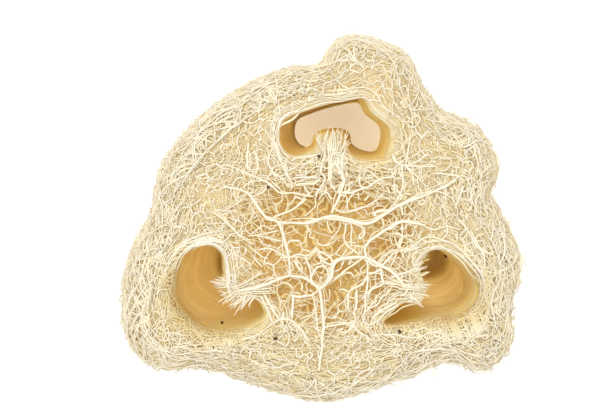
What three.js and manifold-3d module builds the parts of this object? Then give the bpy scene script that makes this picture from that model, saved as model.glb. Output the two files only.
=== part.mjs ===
// Natural loofah sponge: one cut length of the dried fibre skeleton of a luffa gourd, standing on its cut end.
// Millimetres. +Z runs up the fruit's axis, and the origin is the middle of the lower cut end.
// The skeleton grew as one piece: an outer wall with a raised fibre net, a core of open cells, three seed
// chambers that run from end to end, and beside each chamber the seed-bearing ridge with its fringe of
// cut fibres.
import * as THREE from "three";
import { mergeVertices } from "three/addons/utils/BufferGeometryUtils.js";
import Module from "manifold-3d";

const wasm = await Module();
wasm.setup();

// Driving dimensions
const LENGTH = 105;
const BELLY_SHARE = 0.05; // extra girth at mid length
const FLARE_SHARE = 0.03; // extra girth at the lower end
const BOW = 1.5; // sideways swing of the axis, one way above mid length and the other below
const LUMP = 0.9; // height of the soft lumps of the outer wall
const END_MARGIN = 1; // how far a cutting solid passes an end face

// Outline of the upper cut end, counter-clockwise from the top bump
const OUTLINE = [
  [8.9, 40.4], [3.6, 39.1], [0.7, 34.7], [-8.2, 33.3], [-20.4, 27.1], [-30.2, 19.1], [-36.0, 10.7],
  [-38.0, 1.1], [-41.8, -6.7], [-44.2, -15.6], [-43.3, -27.1], [-37.1, -33.3], [-27.1, -32.9], [-14.9, -36.7],
  [0.7, -40.4], [17.3, -35.6], [28.4, -31.6], [36.4, -33.6], [42.4, -27.6], [42.2, -19.1], [44.2, -9.8],
  [41.8, -1.8], [37.6, 5.3], [39.1, 12.4], [35.1, 20.0], [26.7, 24.4], [22.0, 30.2], [18.2, 36.9],
];

// Seed chambers: rim at the upper end, counter-clockwise, the share of its size left at the lower end, and
// how far that end leans aside. The ridge is the round head that grows into the chamber from the core, and
// where it points.
const CHAMBERS = [
  {
    rim: [
      [9.3, 26.9], [6.7, 26.9], [0.7, 25.6], [-4.9, 23.8], [-8.9, 21.8], [-9.6, 17.8], [-8.2, 15.1],
      [-5.6, 14.2], [-1.6, 15.6], [-0.4, 18.4], [2.2, 19.3], [4.7, 18.4], [5.8, 15.1], [9.6, 13.3],
      [14.0, 13.8], [15.3, 16.7], [15.1, 20.4], [11.1, 24.0],
    ],
    narrowing: 1,
    lean: [0, 0],
    ridge: { at: [2.0, 16.6], points: [0, 1] },
  },
  {
    rim: [
      [-24.4, -6.0], [-28.0, -6.2], [-31.6, -8.4], [-33.3, -13.3], [-33.6, -18.2], [-30.7, -22.7],
      [-26.0, -25.3], [-20.0, -25.3], [-14.9, -23.6], [-12.4, -21.8], [-14.0, -18.4], [-16.0, -17.8],
      [-20.0, -18.7], [-21.3, -16.0], [-21.8, -11.6], [-22.2, -8.0],
    ],
    narrowing: 0.7,
    lean: [3, 3],
    ridge: { at: [-18.7, -15.6], points: [-0.95, -0.31] },
  },
  {
    rim: [
      [26.7, -6.7], [23.6, -7.3], [21.8, -10.0], [23.1, -15.6], [21.8, -18.7], [18.2, -18.7], [15.6, -20.9],
      [13.6, -23.3], [15.6, -24.0], [20.7, -23.3], [26.2, -22.2], [31.1, -21.6], [34.7, -18.9], [35.3, -15.1],
      [33.3, -11.1], [30.2, -8.2],
    ],
    narrowing: 0.7,
    lean: [-4, 3],
    ridge: { at: [20.4, -15.4], points: [0.97, -0.24] },
  },
];
const CHAMBER_SIDES = 26;
const CHAMBER_LEVELS = 6;

// Raised fibre net of the outer wall: a jittered diamond lattice whose strands stand proud of sunk cells
const NET_CELLS_AROUND = 40;
const NET_ROWS = 14; // even, so that both end rows line up
const NET_DEPTH = 1.6;
const NET_CELL_SHARE = 0.74; // size of a sunk cell floor against its diamond
const NET_JITTER = 0.28;

// Open cells of the cut ends: a jittered honeycomb of pockets between strands
const UPPER_CELLS = { size: 3.5, coreDepth: 13, wallDepth: 4.5, seed: 3 };
const LOWER_CELLS = { size: 5.6, coreDepth: 8, wallDepth: 4, seed: 11 };
const CELL_JITTER = 0.3; // share of the cell size
const CELL_STRAND = 0.55; // half the width of the strand between two cells
const CELL_TAPER = 0.72; // size of a cell's floor against its mouth
const CELL_TRIES = [1, 0.85, 0.7, 0.55]; // shrink steps for a cell that comes near an edge
const CELL_FIELD = 60; // half width of the field of cells, wider than the fruit
const CORE_RADIUS = 24; // cells get shallower from the middle out to here
const OUTER_WALL = 1.1; // least wall left beside the outside
const OUTLINE_STEPS = 3 * NET_CELLS_AROUND; // corners of the outline that pockets are kept inside
const CHAMBER_WALL = 1.0; // least wall left beside a chamber
const RIDGE_CLEAR = 3.6; // no pocket this near the middle of a ridge head

// Main veins that branch across the core at the upper end, as routes of their middle lines
const VEINS = [
  [[-22.0, 7.6], [-16.7, 6.0], [-12.4, 0.4], [-10.0, -0.4], [-7.6, -7.3], [-7.1, -12.4]],
  [[-10.0, -0.4], [-3.6, -0.7], [2.4, 0.9], [10.0, -0.7], [17.1, 3.3], [24.9, 6.4], [29.6, 8.9]],
  [[2.0, 1.6], [3.6, 4.9], [4.7, 8.9], [2.7, 13.3]],
  [[-7.1, -12.4], [-3.6, -13.1], [-0.7, -15.6], [0.2, -21.3], [0.0, -27.8], [-0.9, -33.8]],
  [[-0.7, -15.6], [2.0, -12.7], [2.9, -9.6], [6.2, -8.4], [9.8, -8.4]],
  [[9.8, -8.4], [9.6, -6.0], [11.6, -4.0], [17.8, -0.4], [22.9, -1.3]],
  [[9.8, -8.4], [13.1, -10.2], [15.8, -11.8], [18.7, -15.1]],
  [[-7.1, -12.4], [-11.6, -14.0], [-15.6, -15.3], [-18.7, -16.0]],
];
const VEIN_RADIUS = 0.8;
const VEIN_SIDES = 4;
const VEIN_STEPS_PER_STRETCH = 1;
const VEIN_PROUD = 0.5; // how far a vein's crown stands above the cut

// Fringe of cut fibre ends on each ridge: needles that fan out and droop
const FRINGE = { rows: 2, perRow: 8, length: 3.4, radius: 0.65, sunk: 1.6, rowDrop: 1.7, head: 2.4 };
const FRINGE_SPREAD = THREE.MathUtils.degToRad(78); // either side of the way the ridge points
const FRINGE_DROOP = THREE.MathUtils.degToRad(22);

// Materials
const FIBRE = new THREE.MeshStandardMaterial({ color: 0xeedcae, roughness: 0.85, metalness: 0 });

// A repeatable draw from 0 to 1 for a place and a seed
function draw(a, b, seed) {
  const wave = Math.sin(a * 127.1 + b * 311.7 + seed * 74.7) * 43758.5453;
  return wave - Math.floor(wave);
}

function closedCurve(points) {
  const corners = points.map(([x, y]) => new THREE.Vector3(x, y, 0));
  return new THREE.CatmullRomCurve3(corners, true, "centripetal");
}

const wrap = (u) => u - Math.floor(u);
const outlineCurve = closedCurve(OUTLINE);

// Girth of the fruit at a height, against the upper end, and the sideways swing of its axis
function girth(z) {
  const share = THREE.MathUtils.clamp(z / LENGTH, 0, 1);
  return 1 + BELLY_SHARE * Math.sin(Math.PI * share) + FLARE_SHARE * (1 - share);
}
const bow = (z) => BOW * Math.sin(2 * Math.PI * THREE.MathUtils.clamp(z / LENGTH, 0, 1));

// Point of the outer wall: u goes once round the outline, out is the distance outside the wall
function wallPoint(u, z, out) {
  const at = outlineCurve.getPointAt(wrap(u));
  const along = outlineCurve.getTangentAt(wrap(u));
  const share = z / LENGTH;
  const inward = Math.sin(Math.PI * share); // lumps fade out at the cut ends
  const round = Math.sin(2 * Math.PI * (5 * u + share));
  const lump = LUMP * inward * round * Math.cos(4 * Math.PI * (share - u));
  const grow = girth(z);
  return new THREE.Vector3(
    at.x * grow + along.y * (out + lump) + bow(z),
    at.y * grow - along.x * (out + lump),
    z,
  );
}

// Chamber outline at a height
function chamberRing(chamber, z) {
  const points = closedCurve(chamber.rim).getSpacedPoints(CHAMBER_SIDES).slice(0, CHAMBER_SIDES);
  const middle = points.reduce((sum, p) => sum.add(p), new THREE.Vector3()).divideScalar(points.length);
  const below = THREE.MathUtils.clamp(1 - z / LENGTH, 0, 1);
  const size = 1 - (1 - chamber.narrowing) * below;
  const grow = girth(z);
  return points.map(
    (p) =>
      new THREE.Vector3(
        middle.x * grow + (p.x - middle.x) * size + chamber.lean[0] * below + bow(z),
        middle.y * grow + (p.y - middle.y) * size + chamber.lean[1] * below,
        z,
      ),
  );
}

function solidFrom(vertices, triangles) {
  const geometry = new THREE.BufferGeometry();
  const places = vertices.flatMap((v) => [v.x, v.y, v.z]);
  geometry.setAttribute("position", new THREE.Float32BufferAttribute(places, 3));
  geometry.setIndex(triangles.flat());
  return solidOf(geometry);
}

// Closed geometry with its shared corners merged, as a solid for joins and cuts
function solidOf(geometry) {
  geometry.deleteAttribute("normal");
  geometry.deleteAttribute("uv");
  const merged = mergeVertices(geometry, 1e-4);
  const vertProperties = new Float32Array(merged.attributes.position.array);
  const triVerts = new Uint32Array(merged.index.array);
  return new wasm.Manifold(new wasm.Mesh({ numProp: 3, vertProperties, triVerts }));
}

// Triangles that close a ring of corners whose first index is given
function cap(ring, first, facesUp) {
  const flat = ring.map((p) => new THREE.Vector2(p.x, p.y));
  return THREE.ShapeUtils.triangulateShape(flat, []).map(([a, b, c]) =>
    facesUp ? [first + a, first + b, first + c] : [first + a, first + c, first + b],
  );
}

// Solid through counter-clockwise rings of equal count, from the lowest up
function loft(rings) {
  const count = rings[0].length;
  const top = (rings.length - 1) * count;
  const triangles = [...cap(rings[0], 0, false), ...cap(rings[rings.length - 1], top, true)];
  for (let level = 0; level < rings.length - 1; level++) {
    for (let i = 0; i < count; i++) {
      const a = level * count + i;
      const b = level * count + ((i + 1) % count);
      triangles.push([a, b, b + count], [a, b + count, a + count]);
    }
  }
  return solidFrom(rings.flat(), triangles);
}

// Body with the raised net on its outside
function netBody() {
  const vertices = [];
  const triangles = [];
  const onEnd = (row) => row === 0 || row === NET_ROWS;
  const jitter = (i, row, seed) => NET_JITTER * (2 * draw(i, row, seed) - 1);
  const knots = [];
  for (let row = 0; row <= NET_ROWS; row++) {
    for (let i = 0; i < NET_CELLS_AROUND; i++) {
      const u = (i + 0.5 * (row % 2) + jitter(i, row, 1)) / NET_CELLS_AROUND;
      const z = (LENGTH * (row + (onEnd(row) ? 0 : jitter(i, row, 2)))) / NET_ROWS;
      knots.push({ u, z, index: vertices.length });
      vertices.push(wallPoint(u, z, 0));
    }
  }
  const knotAt = (i, row) => {
    const turn = Math.floor(i / NET_CELLS_AROUND);
    const knot = knots[row * NET_CELLS_AROUND + i - turn * NET_CELLS_AROUND];
    return { u: knot.u + turn, z: knot.z, index: knot.index };
  };
  const diamond = (left, below, right, above) => {
    const corners = [left, below, right, above];
    const middleU = corners.reduce((sum, k) => sum + k.u, 0) / 4;
    const middleZ = corners.reduce((sum, k) => sum + k.z, 0) / 4;
    const first = vertices.length;
    for (const k of corners) {
      const u = THREE.MathUtils.lerp(middleU, k.u, NET_CELL_SHARE);
      const z = THREE.MathUtils.lerp(middleZ, k.z, NET_CELL_SHARE);
      vertices.push(wallPoint(u, z, -NET_DEPTH));
    }
    for (let k = 0; k < 4; k++) {
      const next = (k + 1) % 4;
      triangles.push([corners[k].index, corners[next].index, first + next]);
      triangles.push([corners[k].index, first + next, first + k]);
    }
    triangles.push([first, first + 1, first + 2], [first, first + 2, first + 3]);
  };
  for (let row = 0; row <= NET_ROWS; row++) {
    for (let i = 0; i < NET_CELLS_AROUND; i++) {
      const left = knotAt(i, row);
      const right = knotAt(i + 1, row);
      const between = i + (row % 2);
      if (row === 0) {
        triangles.push([left.index, right.index, knotAt(between, 1).index]);
      } else if (row === NET_ROWS) {
        triangles.push([left.index, knotAt(between, row - 1).index, right.index]);
      } else {
        diamond(left, knotAt(between, row - 1), right, knotAt(between, row + 1));
      }
    }
  }
  const last = NET_ROWS * NET_CELLS_AROUND;
  triangles.push(...cap(vertices.slice(0, NET_CELLS_AROUND), 0, false));
  triangles.push(...cap(vertices.slice(last, last + NET_CELLS_AROUND), last, true));
  return solidFrom(vertices, triangles);
}

// Chamber as a cutting solid that passes both ends
function chamberSolid(chamber) {
  const rings = [];
  for (let level = 0; level <= CHAMBER_LEVELS; level++) {
    rings.push(chamberRing(chamber, (LENGTH * level) / CHAMBER_LEVELS));
  }
  const moved = (ring, dz) => ring.map((p) => new THREE.Vector3(p.x, p.y, p.z + dz));
  return loft([moved(rings[0], -END_MARGIN), ...rings, moved(rings[CHAMBER_LEVELS], END_MARGIN)]);
}

function inside(point, loop) {
  let odd = false;
  loop.forEach((a, i) => {
    const b = loop[(i + 1) % loop.length];
    const crosses = a.y > point.y !== b.y > point.y;
    if (crosses && point.x < ((b.x - a.x) * (point.y - a.y)) / (b.y - a.y) + a.x) odd = !odd;
  });
  return odd;
}

function gapTo(point, loop) {
  const flat = new THREE.Vector3(point.x, point.y, loop[0].z);
  const nearest = new THREE.Vector3();
  return Math.min(
    ...loop.map((a, i) =>
      new THREE.Line3(a, loop[(i + 1) % loop.length]).closestPointToPoint(flat, true, nearest).distanceTo(flat),
    ),
  );
}

// Pockets of one cut end, as one cutting solid. facesUp tells the upper end from the lower.
function openCells({ size, coreDepth, wallDepth, seed }, facesUp) {
  const face = facesUp ? LENGTH : 0;
  const outside = [];
  for (let i = 0; i < OUTLINE_STEPS; i++) outside.push(wallPoint(i / OUTLINE_STEPS, face, -NET_DEPTH));
  const holes = CHAMBERS.map((chamber) => chamberRing(chamber, face));
  const fits = (p) =>
    inside(p, outside) &&
    gapTo(p, outside) > OUTER_WALL &&
    holes.every((hole) => !inside(p, hole) && gapTo(p, hole) > CHAMBER_WALL) &&
    CHAMBERS.every(({ ridge }) => Math.hypot(p.x - ridge.at[0], p.y - ridge.at[1]) > RIDGE_CLEAR);
  const corner = (x, y) => {
    const key = [Math.round(x * 10), Math.round(y * 10)];
    const turn = 2 * Math.PI * draw(...key, seed);
    const shift = CELL_JITTER * size * (0.4 + 0.6 * draw(...key, seed + 1));
    return new THREE.Vector3(x + shift * Math.cos(turn), y + shift * Math.sin(turn), face);
  };
  const cells = [];
  const reach = Math.ceil(CELL_FIELD / size);
  for (let row = -reach; row <= reach; row++) {
    for (let column = -reach; column <= reach; column++) {
      const middleX = Math.sqrt(3) * size * (column + row / 2);
      const middleY = 1.5 * size * row;
      const corners = [];
      for (let k = 0; k < 6; k++) {
        const angle = ((k + 0.5) * Math.PI) / 3;
        corners.push(corner(middleX + size * Math.cos(angle), middleY + size * Math.sin(angle)));
      }
      const middle = corners.reduce((sum, p) => sum.add(p), new THREE.Vector3()).divideScalar(6);
      const shrunk = (share) =>
        corners.map((p) => {
          const spoke = p.clone().sub(middle);
          return middle.clone().addScaledVector(spoke, Math.max(0.2, share - CELL_STRAND / spoke.length()));
        });
      const share = CELL_TRIES.find((s) => shrunk(s).every(fits) && fits(middle));
      if (share === undefined) continue;
      const mouth = shrunk(share);
      const openness = Math.max(0, 1 - middle.length() / CORE_RADIUS);
      const fullDepth = THREE.MathUtils.lerp(wallDepth, coreDepth, openness);
      const depth = share * fullDepth * (0.8 + 0.4 * draw(row, column, seed));
      const floorZ = face + (facesUp ? -depth : depth);
      const floor = mouth.map((p) => middle.clone().lerp(p, CELL_TAPER).setZ(floorZ));
      const opening = mouth.map((p) => p.clone().setZ(face + (facesUp ? END_MARGIN : -END_MARGIN)));
      cells.push(loft(facesUp ? [floor, opening] : [opening, floor]));
    }
  }
  return wasm.Manifold.union(cells);
}

// Needles of the cut fibres that fan out from a ridge into its chamber
function fringe({ ridge }) {
  const needles = [];
  const forward = Math.atan2(ridge.points[1], ridge.points[0]);
  for (let row = 0; row < FRINGE.rows; row++) {
    for (let i = 0; i < FRINGE.perRow; i++) {
      const share = (i + 0.5 * (row % 2)) / (FRINGE.perRow - 0.5);
      const angle = forward + FRINGE_SPREAD * (2 * share - 1);
      const length = FRINGE.length * (0.75 + 0.5 * draw(i, row, ridge.at[0]));
      const start = FRINGE.head - FRINGE.sunk;
      const needle = new THREE.ConeGeometry(FRINGE.radius, length, 3);
      needle.translate(0, length / 2 + start, 0);
      needle.rotateX(-FRINGE_DROOP * draw(row, i, 5));
      needle.rotateZ(angle - Math.PI / 2);
      needle.translate(ridge.at[0], ridge.at[1], LENGTH - FRINGE.radius - row * FRINGE.rowDrop);
      needles.push(solidOf(needle));
    }
  }
  return wasm.Manifold.union(needles);
}

// One main vein, half sunk in the upper cut
function vein(route) {
  const middle = LENGTH + VEIN_PROUD - VEIN_RADIUS;
  const path = new THREE.CatmullRomCurve3(route.map(([x, y]) => new THREE.Vector3(x, y, middle)));
  const section = new THREE.Shape();
  for (let i = 0; i < VEIN_SIDES; i++) {
    const angle = (2 * Math.PI * i) / VEIN_SIDES;
    const corner = [VEIN_RADIUS * Math.cos(angle), VEIN_RADIUS * Math.sin(angle)];
    if (i === 0) section.moveTo(...corner);
    else section.lineTo(...corner);
  }
  const steps = VEIN_STEPS_PER_STRETCH * (route.length - 1);
  return solidOf(new THREE.ExtrudeGeometry(section, { steps, extrudePath: path }));
}

function loofahSponge() {
  const cuts = [...CHAMBERS.map(chamberSolid), openCells(UPPER_CELLS, true), openCells(LOWER_CELLS, false)];
  const body = netBody().subtract(wasm.Manifold.union(cuts));
  const joined = wasm.Manifold.union([body, ...CHAMBERS.map(fringe), ...VEINS.map(vein)]);
  const { numProp, vertProperties, triVerts } = joined.getMesh();
  const geometry = new THREE.BufferGeometry();
  geometry.setAttribute("position", new THREE.InterleavedBufferAttribute(
    new THREE.InterleavedBuffer(vertProperties, numProp), 3, 0));
  geometry.setIndex(new THREE.BufferAttribute(triVerts, 1));
  const mesh = new THREE.Mesh(geometry, FIBRE);
  mesh.name = "loofah_sponge";
  return mesh;
}

const part = new THREE.Group();
part.add(loofahSponge());
export default part;
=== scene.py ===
# Natural loofah sponge: the looks of one cut length of a dried luffa gourd's fibre skeleton.
# It stands on its lower cut end. Lengths in the geometry code are in millimetres, and meshes are in metres.
import itertools
import math

import bpy
import numpy as np
from mathutils import Matrix, Vector
from mathutils.geometry import delaunay_2d_cdt


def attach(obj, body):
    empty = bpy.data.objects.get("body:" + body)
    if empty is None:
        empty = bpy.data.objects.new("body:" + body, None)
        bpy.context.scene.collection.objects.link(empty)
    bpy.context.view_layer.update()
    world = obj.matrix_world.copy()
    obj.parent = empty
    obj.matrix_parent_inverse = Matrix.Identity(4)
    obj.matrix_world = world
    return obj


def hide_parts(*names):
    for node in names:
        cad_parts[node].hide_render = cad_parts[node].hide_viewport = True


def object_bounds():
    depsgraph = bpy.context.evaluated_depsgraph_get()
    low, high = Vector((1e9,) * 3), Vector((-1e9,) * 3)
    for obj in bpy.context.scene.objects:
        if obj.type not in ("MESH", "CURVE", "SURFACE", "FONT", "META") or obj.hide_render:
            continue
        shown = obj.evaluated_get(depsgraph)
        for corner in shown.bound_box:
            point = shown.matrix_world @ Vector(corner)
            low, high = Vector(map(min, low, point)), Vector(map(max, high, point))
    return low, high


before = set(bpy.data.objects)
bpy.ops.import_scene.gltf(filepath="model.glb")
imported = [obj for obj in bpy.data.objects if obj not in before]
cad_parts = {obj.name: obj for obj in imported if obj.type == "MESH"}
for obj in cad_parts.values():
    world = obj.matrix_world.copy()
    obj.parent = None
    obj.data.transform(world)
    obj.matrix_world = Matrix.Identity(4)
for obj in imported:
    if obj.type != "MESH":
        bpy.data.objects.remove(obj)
CAD_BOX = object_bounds()

bl_info = {
    "name": "Loofah Sponge",
    "version": (1, 0, 0),
    "blender": (4, 5, 0),
    "location": "View3D > Sidebar > Loofah",
    "description": "Builds the fibres of a natural loofah sponge round its solid",
    "category": "Object",
}

# What the pieces stand for
NODE = "loofah_sponge"
BODY = "root"

# Shape of the solid, as its source has it, in millimetres
MM = 0.001
VEIN_PROUD = 0.5
LENGTH = CAD_BOX[1].z / MM - VEIN_PROUD
BELLY_SHARE = 0.05
FLARE_SHARE = 0.03
BOW = 1.5
SHIFT = (0.5, -0.5)  # of the upper edge, where loose strands lie outside the solid
LUMP = 0.9
OUTLINE = [
    (8.9, 40.4), (3.6, 39.1), (0.7, 34.7), (-8.2, 33.3), (-20.4, 27.1), (-30.2, 19.1), (-36.0, 10.7),
    (-38.0, 1.1), (-41.8, -6.7), (-44.2, -15.6), (-43.3, -27.1), (-37.1, -33.3), (-27.1, -32.9),
    (-14.9, -36.7), (0.7, -40.4), (17.3, -35.6), (28.4, -31.6), (36.4, -33.6), (42.4, -27.6),
    (42.2, -19.1), (44.2, -9.8), (41.8, -1.8), (37.6, 5.3), (39.1, 12.4), (35.1, 20.0), (26.7, 24.4),
    (22.0, 30.2), (18.2, 36.9),
]

# Seed chambers. "opens" is the side where the cut runs softly down into the chamber, and "lip" how far.
# "glow" is the chamber's share of the light, and "lamps" how far its lamps stand from its middle.
CHAMBERS = [
    {
        "rim": [
            (9.3, 26.9), (6.7, 26.9), (0.7, 25.6), (-4.9, 23.8), (-8.9, 21.8), (-9.6, 17.8), (-8.2, 15.1),
            (-5.6, 14.2), (-1.6, 15.6), (-0.4, 18.4), (2.2, 19.3), (4.7, 18.4), (5.8, 15.1), (9.6, 13.3),
            (14.0, 13.8), (15.3, 16.7), (15.1, 20.4), (11.1, 24.0),
        ],
        "narrowing": 1.0, "lean": (0.0, 0.0), "ridge": (2.0, 16.6), "points": (0.0, 1.0),
        "opens": (0.2, -1.0), "lip": 2.5, "glow": 1.25, "lamps": ((-7.5, -1.0), (8.0, -1.0)),
    },
    {
        "rim": [
            (-24.4, -6.0), (-28.0, -6.2), (-31.6, -8.4), (-33.3, -13.3), (-33.6, -18.2), (-30.7, -22.7),
            (-26.0, -25.3), (-20.0, -25.3), (-14.9, -23.6), (-12.4, -21.8), (-14.0, -18.4), (-16.0, -17.8),
            (-20.0, -18.7), (-21.3, -16.0), (-21.8, -11.6), (-22.2, -8.0),
        ],
        "narrowing": 0.7, "lean": (3.0, 3.0), "ridge": (-18.7, -15.6), "points": (-0.95, -0.31),
        "opens": (-0.8, -0.6), "lip": 7.0, "glow": 1.0, "lamps": ((0.0, 0.0),),
    },
    {
        "rim": [
            (26.7, -6.7), (23.6, -7.3), (21.8, -10.0), (23.1, -15.6), (21.8, -18.7), (18.2, -18.7),
            (15.6, -20.9), (13.6, -23.3), (15.6, -24.0), (20.7, -23.3), (26.2, -22.2), (31.1, -21.6),
            (34.7, -18.9), (35.3, -15.1), (33.3, -11.1), (30.2, -8.2),
        ],
        "narrowing": 0.7, "lean": (-4.0, 3.0), "ridge": (20.4, -15.4), "points": (0.97, -0.24),
        "opens": (0.75, -0.66), "lip": 7.0, "glow": 1.0, "lamps": ((0.0, 0.0),),
    },
]

# Main veins across the core, as the source has them
VEINS = [
    [(-22.0, 7.6), (-16.7, 6.0), (-12.4, 0.4), (-10.0, -0.4), (-7.6, -7.3), (-7.1, -12.4)],
    [(-10.0, -0.4), (-3.6, -0.7), (2.4, 0.9), (10.0, -0.7), (17.1, 3.3), (24.9, 6.4), (29.6, 8.9)],
    [(2.0, 1.6), (3.6, 4.9), (4.7, 8.9), (2.7, 13.3)],
    [(-7.1, -12.4), (-3.6, -13.1), (-0.7, -15.6), (0.2, -21.3), (0.0, -27.8), (-0.9, -33.8)],
    [(-0.7, -15.6), (2.0, -12.7), (2.9, -9.6), (6.2, -8.4), (9.8, -8.4)],
    [(9.8, -8.4), (9.6, -6.0), (11.6, -4.0), (17.8, -0.4), (22.9, -1.3)],
    [(9.8, -8.4), (13.1, -10.2), (15.8, -11.8), (18.7, -15.1)],
    [(-7.1, -12.4), (-11.6, -14.0), (-15.6, -15.3), (-18.7, -16.0)],
]
# Thinner branches between the main veins, and the twigs in their meshes
BRANCHES = [
    [(-23.5, 12.2), (-20.4, 12.0), (-18.4, 11.2), (-15.8, 10.0), (-12.4, 8.3),
     (-9.3, 6.2), (-5.9, 5.9), (-1.9, 5.2)],
    [(-11.0, 0.6), (-9.0, 1.5), (-6.8, 2.1), (-4.8, 3.7), (-3.7, 4.6)],
    [(-10.2, 17.3), (-9.7, 14.4), (-8.7, 12.2), (-7.5, 9.6), (-6.8, 8.1), (-7.0, 6.7)],
    [(-11.0, 16.8), (-11.9, 13.4), (-11.2, 11.3), (-9.7, 9.8), (-8.3, 8.6), (-7.3, 7.2)],
    [(-16.3, 17.3), (-16.8, 14.4), (-16.7, 12.7), (-16.5, 11.0)],
    [(-15.1, 15.6), (-14.4, 13.4), (-14.3, 11.8), (-15.0, 9.8)],
    [(-6.5, 9.5), (-3.9, 9.5), (-1.0, 9.5)],
    [(-5.9, 7.9), (-3.6, 8.1), (-1.7, 8.1), (-0.4, 9.4)],
    [(-7.0, 13.2), (-4.8, 14.0), (-2.2, 14.4), (-0.3, 14.7)],
    [(-0.8, 17.3), (0.7, 14.4), (0.0, 12.7), (-0.3, 10.6), (0.5, 9.6), (0.2, 8.3), (-1.7, 5.4)],
    [(5.3, 17.1), (4.6, 14.4), (4.3, 12.2), (4.6, 9.6), (4.1, 7.6), (3.3, 6.1)],
    [(1.2, 17.1), (2.2, 15.7), (3.4, 14.4), (3.6, 12.2), (3.8, 10.1)],
    [(3.1, 16.3), (2.2, 14.4), (1.9, 12.2), (1.7, 9.8), (1.9, 8.3), (2.9, 6.9)],
    [(3.4, 6.1), (5.7, 6.1), (8.7, 6.9), (10.4, 7.4), (12.1, 8.8), (13.8, 9.5), (15.5, 9.6)],
    [(2.8, 2.5), (4.6, 1.8), (7.0, 2.0), (9.2, 2.8), (10.8, 3.5), (12.1, 4.4), (13.5, 5.9)],
    [(-3.9, -0.6), (-1.5, 0.3), (0.7, 0.3), (3.3, 0.3), (4.6, -0.1), (7.0, -0.8),
     (8.5, -1.3), (9.4, -1.9), (9.4, -3.5)],
    [(11.4, 0.8), (12.1, 1.8), (13.8, 2.0), (15.5, 2.5)],
    [(15.3, 2.8), (16.4, 4.2), (17.4, 6.2), (17.9, 8.3), (17.7, 10.6), (17.5, 12.3),
     (16.5, 13.2), (15.9, 14.4)],
    [(-3.9, -8.3), (-3.4, -9.6), (-2.7, -11.3), (-2.5, -12.9), (-1.8, -14.2), (-0.5, -15.1)],
    [(-9.2, -8.4), (-7.5, -8.3), (-5.6, -7.6), (-3.5, -8.1), (-2.3, -7.2), (-1.1, -6.2)],
    [(9.1, -8.6), (7.0, -10.0), (5.1, -11.2), (4.0, -12.3), (2.6, -13.4)],
    [(-2.3, -12.5), (-2.0, -11.5), (-1.0, -10.5), (0.2, -10.3), (1.1, -11.0),
     (1.4, -12.3), (0.9, -13.9), (-0.1, -14.9)],
    [(-1.1, -6.9), (0.0, -7.4), (1.6, -8.3), (2.3, -9.6), (2.4, -10.5)],
    [(-0.5, -9.1), (1.1, -9.8), (2.4, -10.0)],
    [(4.8, -4.9), (5.7, -6.0), (7.0, -6.9), (8.4, -7.8)],
    [(9.2, -8.4), (10.1, -9.6), (10.1, -11.5), (10.1, -13.9), (9.7, -16.2), (9.6, -18.6), (9.6, -21.0)],
    [(10.1, -12.2), (9.1, -13.9), (7.7, -14.9), (6.0, -16.1), (5.7, -18.0), (6.0, -20.2)],
    [(7.7, -15.6), (7.7, -17.8), (7.5, -20.3)],
    [(10.1, -9.1), (11.4, -10.0), (13.1, -10.3), (13.8, -9.8), (15.5, -7.9), (17.0, -6.7)],
    [(13.1, -10.6), (13.1, -11.7), (13.5, -13.2), (13.8, -14.0), (12.1, -14.9), (10.9, -15.4), (10.1, -16.8)],
    [(10.4, -12.0), (12.1, -11.5), (13.1, -11.0)],
    [(15.2, -15.1), (14.5, -16.3), (13.1, -17.3), (12.6, -18.6), (10.2, -19.8)],
    [(17.2, -18.9), (15.0, -20.0), (13.0, -22.0), (11.9, -23.2)],
    [(16.7, -18.2), (13.5, -20.0), (11.4, -21.7), (10.6, -23.4)],
    [(-2.2, -16.9), (-1.7, -18.6), (-1.5, -20.3), (-1.2, -22.9), (-0.8, -25.3), (-0.1, -26.1)],
    [(-7.1, -16.9), (-5.6, -17.3), (-3.9, -16.9), (-2.2, -16.8), (-0.8, -15.6)],
    [(7.0, -20.3), (7.4, -22.0), (7.0, -23.7), (9.1, -25.3), (11.3, -27.1)],
    [(-0.1, -24.4), (2.3, -23.6), (5.3, -23.2), (7.0, -22.7)],
    [(17.0, -6.7), (18.9, -6.6), (21.6, -6.1)],
    [(15.2, -12.9), (17.2, -12.2), (19.3, -11.5), (21.6, -10.3)],
    [(-14.4, -6.7), (-12.7, -6.2), (-10.7, -6.9), (-9.2, -7.6), (-7.6, -8.2)],
    [(-6.3, -8.8), (-5.3, -10.6), (-4.6, -11.5)],
    [(-13.5, -17.2), (-12.8, -18.6), (-12.0, -20.5), (-11.5, -22.4), (-11.2, -23.1)],
    [(-12.7, -16.8), (-11.4, -19.1), (-10.2, -21.4), (-9.7, -22.2)],
    [(-11.2, -23.1), (-9.3, -22.2), (-7.5, -22.2), (-5.6, -23.6), (-4.2, -25.1), (-2.7, -27.1)],
    [(-11.2, -23.1), (-13.1, -24.8), (-15.5, -26.0), (-19.2, -26.8), (-22.6, -27.0), (-26.0, -27.8)],
    [(-6.5, -17.2), (-6.5, -19.5), (-6.8, -22.0)],
    [(-8.5, -20.3), (-8.8, -22.2)],
    [(-25.0, 1.9), (-22.2, 0.2), (-19.4, -2.7), (-16.9, -4.4), (-15.5, -5.5)],
]
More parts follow.
